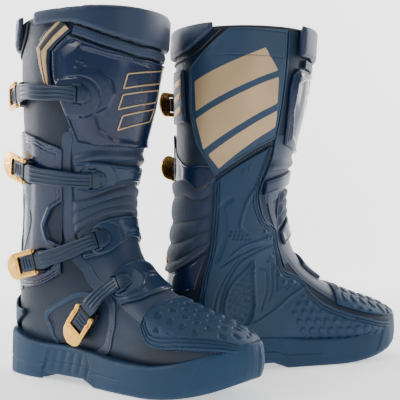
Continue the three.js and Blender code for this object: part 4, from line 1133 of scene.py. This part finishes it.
# Three slanting outlined bars, moulded as fine gold lines.
EMBLEM = []
for k, (left, right) in enumerate(((0.072, -0.045), (0.078, -0.06), (0.07, -0.075))):
    low = 14.22 + 0.52 * k
    EMBLEM.append([[low, left], [low + 0.36, left - 0.008], [low + 0.62, right],
                   [low + 0.28, right + 0.012]])
outlines = [tube(*trace(shape, 1.5, 3.85, closed=True, mix=straight), 0.75, closed=True, flat=0.6)
            for shape in EMBLEM]
make("shin_emblem", together(*outlines), film, "shin_flap")
sewn("shin_seams", [
    ([[14.15, 0.179], [15.0, 0.213], [15.66, 0.229], [16.16, 0.23], [16.42, 0.203]], 5.2, straight),
    ([[16.06, 0.1], [15.98, 0.04], [15.97, -0.06], [16.02, -0.14]], 5.4, through),
    ([[13.86, 0.14], [13.78, 0.09], [13.7, 0], [13.84, -0.08]], 5.2, through),
], "shin_flap")
# Below the roll of the collar, a flat sewn strip joins it to the plate.
COLLAR_STRIP = [[16.6, 0.19], [16.34, 0.12], [16.17, 0.04], [16.16, -0.06], [16.22, -0.15]]
strip_at, strip_length = laid_along(COLLAR_STRIP)
strip_x = np.linspace(0, strip_length, 60)
make("collar_strip", bend_to(strip_at, bar_shape(strip_x, 5.0, 1.3, 5.0, corner=3.0)), soft,
     "shin_flap")
sewn("collar_seam", [(COLLAR_STRIP, 5.1, straight)], "shin_flap")

# ---- Strap plates and toe guard ------------------------------------------------------------------
# Three satin mouldings cross the instep and carry the anchors of the lower straps, each with a
# round boss under its anchor and a moulded lug at the front. The toe guard has hexagons, sunk on
# its outer part and raised on its inner part, and a ridged rim.
satin = plastic("satin_moulded_urethane", "#0b2038", "#12304e", 0.36, 0.25, 700.0, 0.00015,
                "#33507e")
PLATES = [
    ("strap_plate_2", [12.85, 0.113], [[12.95, 0.03], [12.95, -0.03]],
     [[[12.62, 0.172], [12.28, 0.117], [12.35, 0.02], [12.5, -0.09], [12.7, -0.215]],
      [[13.5, 0.182], [13.4, 0.127], [13.1, 0.04], [13.1, -0.08], [13.15, -0.215]]]),
    ("strap_plate_3", [9.65, 0.104], [[9.5, 0.02], [9.5, -0.03]],
     [[[9.5, 0.167], [8.75, 0.102], [8.9, 0.02], [9.0, -0.06], [9.3, -0.125]],
      [[10.75, 0.167], [10.75, 0.107], [10.42, 0.03], [10.32, -0.05], [10.3, -0.125]]]),
    ("strap_plate_4", [6.88, 0.105], [[6.6, 0.02], [6.6, -0.02]],
     [[[6.4, 0.177], [5.8, 0.112], [5.6, 0.03], [5.65, -0.03], [5.9, -0.08]],
      [[7.65, 0.172], [7.72, 0.102], [7.6, 0.03], [7.45, -0.02], [7.2, -0.09]]]),
]
for name, anchor, lug, net in PLATES:
    def plate_relief(g, anchor=anchor, lug=lug):
        boss = np.linalg.norm(g.points - skin(*anchor), axis=-1)
        h = 0.7 * step_of(17.0 - boss, 0.8) - 0.8 * bump_of(boss - 18.2, 1.3)
        h += 1.0 * bump_of(distance(g.points, lug), 5.0)
        return h - 0.7 * bump_of(g.ends - 3.2, 1.0) * step_of(boss - 19, 1)

    make(name, panel(net, 1.95, 5.1, (110, 60), relief=plate_relief, rounding=1.8), satin,
         stands_for=True, crease=60)

TOE_GUARD = [[[1.45, 0.2], [1.25, 0.12], [1.15, 0], [1.25, -0.1], [1.5, -0.18]],
             [[2.6, 0.226], [2.6, 0.12], [2.6, 0], [2.6, -0.1], [2.6, -0.217]],
             [[3.7, 0.246], [3.7, 0.12], [3.7, 0], [3.7, -0.1], [3.7, -0.217]],
             [[4.85, 0.252], [4.8, 0.13], [4.75, 0], [4.8, -0.1], [4.8, -0.207]],
             [[5.25, 0.2], [5.34, 0.13], [5.2, 0], [5.34, -0.09], [5.34, -0.2]]]


def toe_relief(g):
    p = g.points
    rim = g.over[-1:] - g.over if g.over[0, 0] else g.over
    h = sum(-1.5 * bump_of(rim - k, 1.2) for k in (3.2, 6.8, 10.4))
    h -= 0.7 * bump_of(g.along[:, -1:] - g.along - 3.4, 1.0)
    field = step_of(rim - 15, 2) * step_of(g.ends - 7, 2)
    outer = step_of(-p[..., 1] + 6, 6)
    cells = hexagons(p[..., 0] + 3, p[..., 1], 15.0, 3.4, 0.5)
    studs = hexagons(p[..., 0] + 3, p[..., 1], 13.5, 4.2, 0.5)
    return h + field * (-1.8 * cells * outer + 1.4 * studs * (1 - outer))


make("toe_guard", panel(TOE_GUARD, 1.2, 3.5, (122, 122), relief=toe_relief), matt,
     stands_for=True, crease=60)
sewn("toe_seam", [([[5.12, 0.19], [5.2, 0.13], [5.07, 0], [5.2, -0.09]], 3.6, through),
                  ([[1.8, 0.216], [2.6, 0.229], [3.7, 0.249], [4.8, 0.254], [5.16, 0.21]], 1.0,
                   through)])

# A pull tab of folded coated leather is sewn up the back, with moulded gold bars on it.
PULL_TAB = [[[14.9, 0.462], [14.9, 0.535]], [[16.1, 0.462], [16.1, 0.52]]]
make("pull_tab", panel(PULL_TAB, 1.2, 3.9, (30, 40), mix=straight, relief=lambda g:
                       -0.6 * bump_of(g.edge - 3, 0.9)), soft, stands_for=True)
tab_bars = [panel([[[s, 0.475], [s + 0.1, 0.515]], [[s + 0.14, 0.475], [s + 0.24, 0.515]]],
                  3.6, 4.5, (8, 4), mix=straight, rounding=0.5) for s in (15.05, 15.35, 15.65)]
make("pull_tab_bars", together(*tab_bars), film)
sewn("pull_tab_seam", [([[14.97, 0.469], [16.03, 0.469]], 4.0, straight),
                       ([[14.97, 0.528], [16.03, 0.514]], 4.0, straight)])

# ---- Straps and buckles --------------------------------------------------------------------------
# Four ribbed urethane straps, each hinged in a half-round anchor. The free end goes through the
# fork of a gold die-cast lever, which snaps down over a black hook plate riveted to the boot. A
# lever is stiff, so it and the strap's end stand off the boot along a tangent.
STRAP_HALF, STRAP_WALL, BOSS_LENGTH = 8.5, 2.6, 13.0
LEVER_LENGTH, LEVER_PALM, LEVER_ARM, LEVER_WALL = 44.0, 20.0, 5.6, 4.6
BASE_WALL, PIVOT_CLEAR, CLEARANCE = 3.4, 2.6, 1.2
CALF_SEAT, SHIN_TOP, ANKLE_TOP = 3.8, 5.2, 5.92
FORK = STRAP_HALF + 0.6 * CLEARANCE
BOSS_HALF, RIB_PITCH, TOOTH_PITCH, TIP_LENGTH = 10.6, 3.9, 4.5, 12
RIVET_X, RIVET_RADIUS, RIVET_SPREAD, PIN_X, PIN_RADIUS = 6.5, 1.2, 4.2, 2.2, 1.3
STRAPS = [
    ([[15.1, 0.145], [15.2, 0.2], [15.4, 0.3], [15.42, 0.4], [15.42, 0.449]], 0.0, SHIN_TOP),
    ([[12.68, 0.09], [12.85, 0.14], [13.5, 0.28], [13.75, 0.34], [13.85, 0.425]], CALF_SEAT,
     ANKLE_TOP),
    ([[9.5, 0.085], [9.9, 0.125], [11.0, 0.257], [11.55, 0.33], [11.9, 0.385]], CALF_SEAT,
     ANKLE_TOP),
    ([[6.8, 0.085], [7.05, 0.13], [7.4, 0.195], [7.6, 0.25], [7.72, 0.335]], 0.0, ANKLE_TOP),
]
# Satin thermoplastic urethane, dark teal navy and opaque, rubbed lighter on its sharp edges.
strap_plastic = plastic("satin_strap_urethane", "#041a30", "#0a2943", 0.38, 0.2, 800.0, 0.00015,
                        "#264766")
# Glass-filled nylon for the hook plates: black, with a faint speckle.
nylon = plastic("black_glass_nylon", "#0d0f13", "#1b1e24", 0.42, 0.0, 900.0, 0.0002, "#3b3f47")
# Die-cast alloy, tumbled and gold anodised: bright warm metal with a fine brushed haze, rubbed
# paler on its edges.
gold, shader, place = finish("gold_anodised_alloy", {"Metallic": 1.0})
haze = noise(gold, place, 420.0, 5.0)
tint = blend(gold, haze, "#e2a445", "#f2c065")
rubbed = blend(gold, on_edges(gold, 0.52, 0.4), tint, "#fcd98e")
shine = ranged(gold, haze, 0.2, 0.36)
wire(gold, shader, {"Base Color": rubbed, "Roughness": shine,
                    "Normal": bumped(gold, haze, 0.08, 0.0001)})


def rounded(x, radius, start, end):
    """1 along a bar, falling as a quarter round of that radius to 0.2 at its two ends."""
    near = np.clip(np.minimum(x - start, end - x) / radius, 0.02, 1)
    return np.sqrt(1 - (1 - near) ** 2)


def capped(x, radius):
    return rounded(x, radius, x[0] - 0.1, x[-1] + 0.1)


for number, (route, seat, front) in enumerate(STRAPS, 1):
    at, length = laid_along(route)
    tight = laid_along(route, LEVER_LENGTH)[0]
    lever_start, palm_start = length - LEVER_LENGTH, length - LEVER_PALM
    strap_start, strap_end = BOSS_LENGTH + 1.5 * CLEARANCE, palm_start - 2 * CLEARANCE
    back = seat + CLEARANCE + BASE_WALL + PIVOT_CLEAR

    def lift(x, front=front, back=back, length=length):
        share = np.clip(x / length, 0, 1)
        return (front + CLEARANCE) * (1 - share) + back * share

    x = np.linspace(strap_start - 0.4, strap_end, 60)
    flare = 1.6 * bump_of(x - (lever_start - 9), 10)
    waist = -1.0 * bump_of(x - (strap_start + 14), 12)
    parts = [bar_shape(x, (STRAP_HALF + flare + waist) * rounded(x, 2.0, x[0] - 1, x[-1] + 1),
                       lift(x),
                       lift(x) + STRAP_WALL, corner=6.0)]
    ribs_x = np.linspace(strap_start + 1, lever_start - 6, 40)
    for k in (-1.5, -0.5, 0.5, 1.5):
        spread = 1 + 0.25 * (ribs_x - strap_start) / (lever_start - strap_start)
        high = lift(ribs_x) + STRAP_WALL - 0.3 + 1.2 * rounded(ribs_x, 6, ribs_x[0] - 0.2,
                                                               ribs_x[-1])
        parts.append(bar_shape(ribs_x, 1.15, lift(ribs_x) + 1.5, high, k * RIB_PITCH * spread, 3.0,
                               10))
    for tooth in np.arange(lever_start + 4, strap_end - 3, TOOTH_PITCH):
        tooth_x = tooth + np.array([-1.3, -0.9, 0, 0.9, 1.3])
        peak = lift(tooth_x) + STRAP_WALL + np.array([-0.2, 0.7, 1.0, 0.7, -0.2])
        parts.append(bar_shape(tooth_x, 6.0, lift(tooth_x) + 1, peak, corner=5.0))
    make(f"strap_{number}", bend_to(tight, together(*parts)), strap_plastic,
         f"strap_{number}", stands_for=True, crease=50)

    # the anchor: a domed half disc, two cheeks beside the strap, and two rivet heads
    x = np.concatenate([np.linspace(0, 2, 6)[:-1], np.linspace(2, BOSS_LENGTH, 16)])
    width = BOSS_HALF * np.sqrt(np.clip(1 - (1 - x / BOSS_LENGTH) ** 2, 0.004, 1))
    crown = front - 0.6 + (lift(x) + STRAP_WALL - front + 0.4) * np.clip(width / BOSS_HALF, 0,
                                                                         1) ** 0.5
    dome = bar_shape(x, width, front - 1.6, crown, corner=3.2)
    cheeks = [bar_shape(np.linspace(BOSS_LENGTH - 3, BOSS_LENGTH + 5, 10), 1.4, front - 1.0,
                        lift(BOSS_LENGTH) + STRAP_WALL, k * BOSS_HALF, 3.5, 12) for k in (-1, 1)]
    heads = [bar_shape(RIVET_X + RIVET_RADIUS * np.cos(np.linspace(np.pi, 0, 9)),
                       np.maximum(RIVET_RADIUS * np.sin(np.linspace(np.pi, 0, 9)), 0.05), front,
                       lift(RIVET_X) + STRAP_WALL + 0.15, k * RIVET_SPREAD, 2.0, 10)
                       for k in (-1, 1)]
    anchored = "shin_flap" if number == 1 else "boots"
    make(f"anchor_{number}", bend_to(at, together(dome, *cheeks, *heads)), strap_plastic,
         anchored, crease=50)

    # the lever: two arms with a raised rib, and a dished palm with a rounded tip
    arm_x = np.linspace(lever_start, palm_start + 4, 34)
    arms = []
    for k in (-1, 1):
        centre = k * (FORK + LEVER_ARM / 2)
        notch = 0.9 * bump_of(arm_x - (lever_start + 9), 3.0)
        end = rounded(arm_x, 2.4, lever_start - 0.1, palm_start + 12)
        arms.append(bar_shape(arm_x, LEVER_ARM / 2 * end, lift(arm_x) + 0.1,
                              lift(arm_x) + (LEVER_WALL - 0.9) * end - notch, centre, 4.5, 16))
        rib_x = arm_x[6:-2]
        arms.append(bar_shape(rib_x, 1.1 * capped(rib_x, 2),
                              lift(rib_x) + 2.0, lift(rib_x) + LEVER_WALL, centre, 3.0, 10))
    palm_x = np.concatenate([np.linspace(palm_start, length - TIP_LENGTH, 10)[:-1],
                             length - TIP_LENGTH * np.cos(np.linspace(0, np.pi / 2, 18))])
    left = np.clip((length - palm_x) / TIP_LENGTH, 0, 1)
    palm_half = (FORK + LEVER_ARM) * np.sqrt(np.clip(1 - (1 - left) ** 2, 0.002, 1))
    thin = 1.4 * (1 - np.clip((length - palm_x) / 14, 0, 1))
    palm = bar_shape(palm_x, palm_half, lift(palm_x) + 0.1, lift(palm_x) + LEVER_WALL - 0.8 - thin,
                     corner=3.6, sides=32)
    arrow_x = np.linspace(palm_start + 4, length - 5, 12)
    arrow = bar_shape(arrow_x, 5.2 * (length - 4.4 - arrow_x) / 12, lift(arrow_x) + 2.2,
                      lift(arrow_x) + LEVER_WALL - 0.1 - 0.06 * (arrow_x - arrow_x[0]), 0, 2.6, 16)
    bridge_x = np.linspace(palm_start - 0.2, palm_start + 3, 6)
    bridge = bar_shape(bridge_x, FORK + 1, lift(bridge_x) + 0.2, lift(bridge_x) + LEVER_WALL, 0,
                       4.0)
    make(f"lever_{number}", bend_to(tight, together(*arms, palm, arrow, bridge)), gold,
         f"lever_{number}", stands_for=True, crease=45)
    pin = bar_shape(lever_start + PIN_X + PIN_RADIUS * np.cos(np.linspace(np.pi, 0, 12)),
                    FORK + LEVER_ARM - 0.3,
                    lift(lever_start + PIN_X) + 1.0, lift(lever_start + PIN_X) + 3.4, 0, 9.0, 24)
    make(f"lever_pin_{number}", bend_to(tight, pin), nylon, f"lever_{number}")

    # the hook plate: a base under the lever, cheeks at the arms' ends, toothed combs and rails
    low = seat + CLEARANCE
    base_x = np.linspace(lever_start - 2, length - 9, 20)
    base = bar_shape(base_x, 9.6 * capped(base_x, 3), low,
                     low + BASE_WALL - 0.6, corner=5.0)
    cheek_x = np.linspace(lever_start - 2, lever_start + 9, 12)
    sides = [bar_shape(cheek_x, 2.0 * capped(cheek_x, 3), low,
                       low + BASE_WALL + 0.7 * rounded(cheek_x, 4, cheek_x[0] - 0.1, cheek_x[-1]),
                       k * (FORK + LEVER_ARM - 3.0), 4.0, 14) for k in (-1, 1)]
    tooth_x = np.linspace(lever_start - 7, lever_start - 1.2, 14)
    comb = low + BASE_WALL + 1.2 + 0.8 * np.cos((tooth_x - tooth_x[0]) * np.pi / 1.45)
    sides += [bar_shape(tooth_x, 1.7, low, comb, k * (FORK + 1.9), 6.0, 14) for k in (-1, 1)]
    rail_x = np.linspace(lever_start, palm_start, 8)
    rails = [bar_shape(rail_x, 1.0, low, low + BASE_WALL, k * 7.5, 4.0, 12) for k in (-1, 1)]
    make(f"buckle_base_{number}", bend_to(at, together(base, *sides, *rails)), nylon,
         stands_for=True, crease=50)

# ---- Insole --------------------------------------------------------------------------------------
# Inside lie a board of pressed fibre, which the upper is lasted to, and a loose foam footbed with a
# knitted top. Both are as the frame has them.
# Pressed fibre: buff, matt, with flecks 2 mm across.
fibre, shader, place = finish("pressed_fibre", {"Roughness": 0.85})
fleck = noise(fibre, place, 450.0, 4.0)
tint = blend(fibre, fleck, "#5d5547", "#8a7f6c")
wire(fibre, shader, {"Base Color": tint, "Normal": bumped(fibre, fleck, 0.3, 0.0003)})
for side in STANDS:
    for node, material in (("insole_board", fibre), ("footbed", knit)):
        carried = frame["nodes"][f"{side}_{node}"].data
        carried.materials.clear()
        carried.materials.append(material)

# ---- Stand, light and camera ---------------------------------------------------------------------
# A seamless pale floor and wall. Two large soft boxes stand in front, one above, a narrow one at
# the side and two that light the wall. The camera is a metre in front, level with the pair's
# middle. Painted translucent paper, lit from behind: matt and nearly white, with a faint mottle.
paper, shader, place = finish("backdrop_paper", {
    "Roughness": 0.85, "Emission Color": linear("#ffffff"), "Emission Strength": 0.75})
mottle = noise(paper, place, 3.0, 3.0)
wire(paper, shader, {"Base Color": blend(paper, mottle, "#f8f8f9", "#fcfcfd")})
# its section runs back along the floor, up a quarter round and up the wall, in metres
FLOOR_SHARE, CURVE_SHARE, WALL_SHARE = 0.45, 0.25, 0.3
FLOOR_START, FLOOR_LENGTH, CURVE_RADIUS, WALL_HEIGHT, HALF_WIDTH = -2.4, 3.6, 0.8, 2.2, 3.5
ALONG, ACROSS = 40, 8
run = np.linspace(0, 1, ALONG)
bend = np.clip((run - FLOOR_SHARE) / CURVE_SHARE, 0, 1) * np.pi / 2
sweep_y = (np.minimum(run, FLOOR_SHARE) / FLOOR_SHARE * FLOOR_LENGTH + FLOOR_START
           + CURVE_RADIUS * np.sin(bend))
sweep_z = (CURVE_RADIUS * (1 - np.cos(bend))
           + np.clip(run - (1 - WALL_SHARE), 0, 1) / WALL_SHARE * WALL_HEIGHT)
wide = np.linspace(-HALF_WIDTH, HALF_WIDTH, ACROSS)
sweep = np.stack([wide[:, None] + 0 * run, sweep_y + 0 * wide[:, None],
                  sweep_z + 0 * wide[:, None]], -1)
data = bpy.data.meshes.new("backdrop")
sweep_ids = np.arange(ACROSS * ALONG).reshape(ACROSS, ALONG)
data.from_pydata(sweep.reshape(-1, 3).tolist(), [], quads_of(sweep_ids).tolist())
data.shade_smooth()
data.materials.append(paper)
backdrop = placed("backdrop", data)


def soft_box(name, place, aim, width, height, power):
    """An area light at place whose face looks at aim: its -Z axis is the direction between them."""
    light = bpy.data.lights.new(name, "AREA")
    light.shape, light.size, light.size_y, light.energy = "RECTANGLE", width, height, power
    lamp = placed(name, light)
    lamp.location = place
    lamp.rotation_euler = (Vector(aim) - Vector(place)).to_track_quat("-Z", "Y").to_euler()


soft_box("key", (-1.5, -0.9, 1.5), (0, 0, 0.2), 0.8, 1.0, 17)
soft_box("fill", (1.5, -1.4, 0.9), (0, 0, 0.2), 0.7, 1.4, 6.5)
soft_box("top", (0, 0.1, 2.0), (0, 0, 0.2), 1.6, 1.2, 9)
soft_box("side_strip", (-1.5, 0.3, 0.6), (0, 0, 0.25), 0.25, 1.4, 8)
soft_box("wall_left", (-1.7, 0.9, 0.9), (0, 2.1, 0.4), 0.5, 1.4, 40)
soft_box("wall_right", (1.7, 0.9, 0.9), (0, 2.1, 0.4), 0.5, 1.4, 40)
world = bpy.data.worlds.new("studio")
world.use_nodes = True
world.node_tree.nodes["Background"].inputs["Color"].default_value = linear("#f4f6fa")
world.node_tree.nodes["Background"].inputs["Strength"].default_value = 0.45
bpy.context.scene.world = world

CAMERA_DISTANCE, CAMERA_X, CAMERA_HEIGHT = 0.99929, -0.01418, 0.2
camera = bpy.data.cameras.new("camera")
camera.sensor_width, camera.lens = 36.0, 77.6
viewer = placed("camera", camera)
viewer.location = (CAMERA_X, -CAMERA_DISTANCE, CAMERA_HEIGHT)
viewer.rotation_euler = (np.pi / 2, 0, 0)
bpy.context.scene.camera = viewer
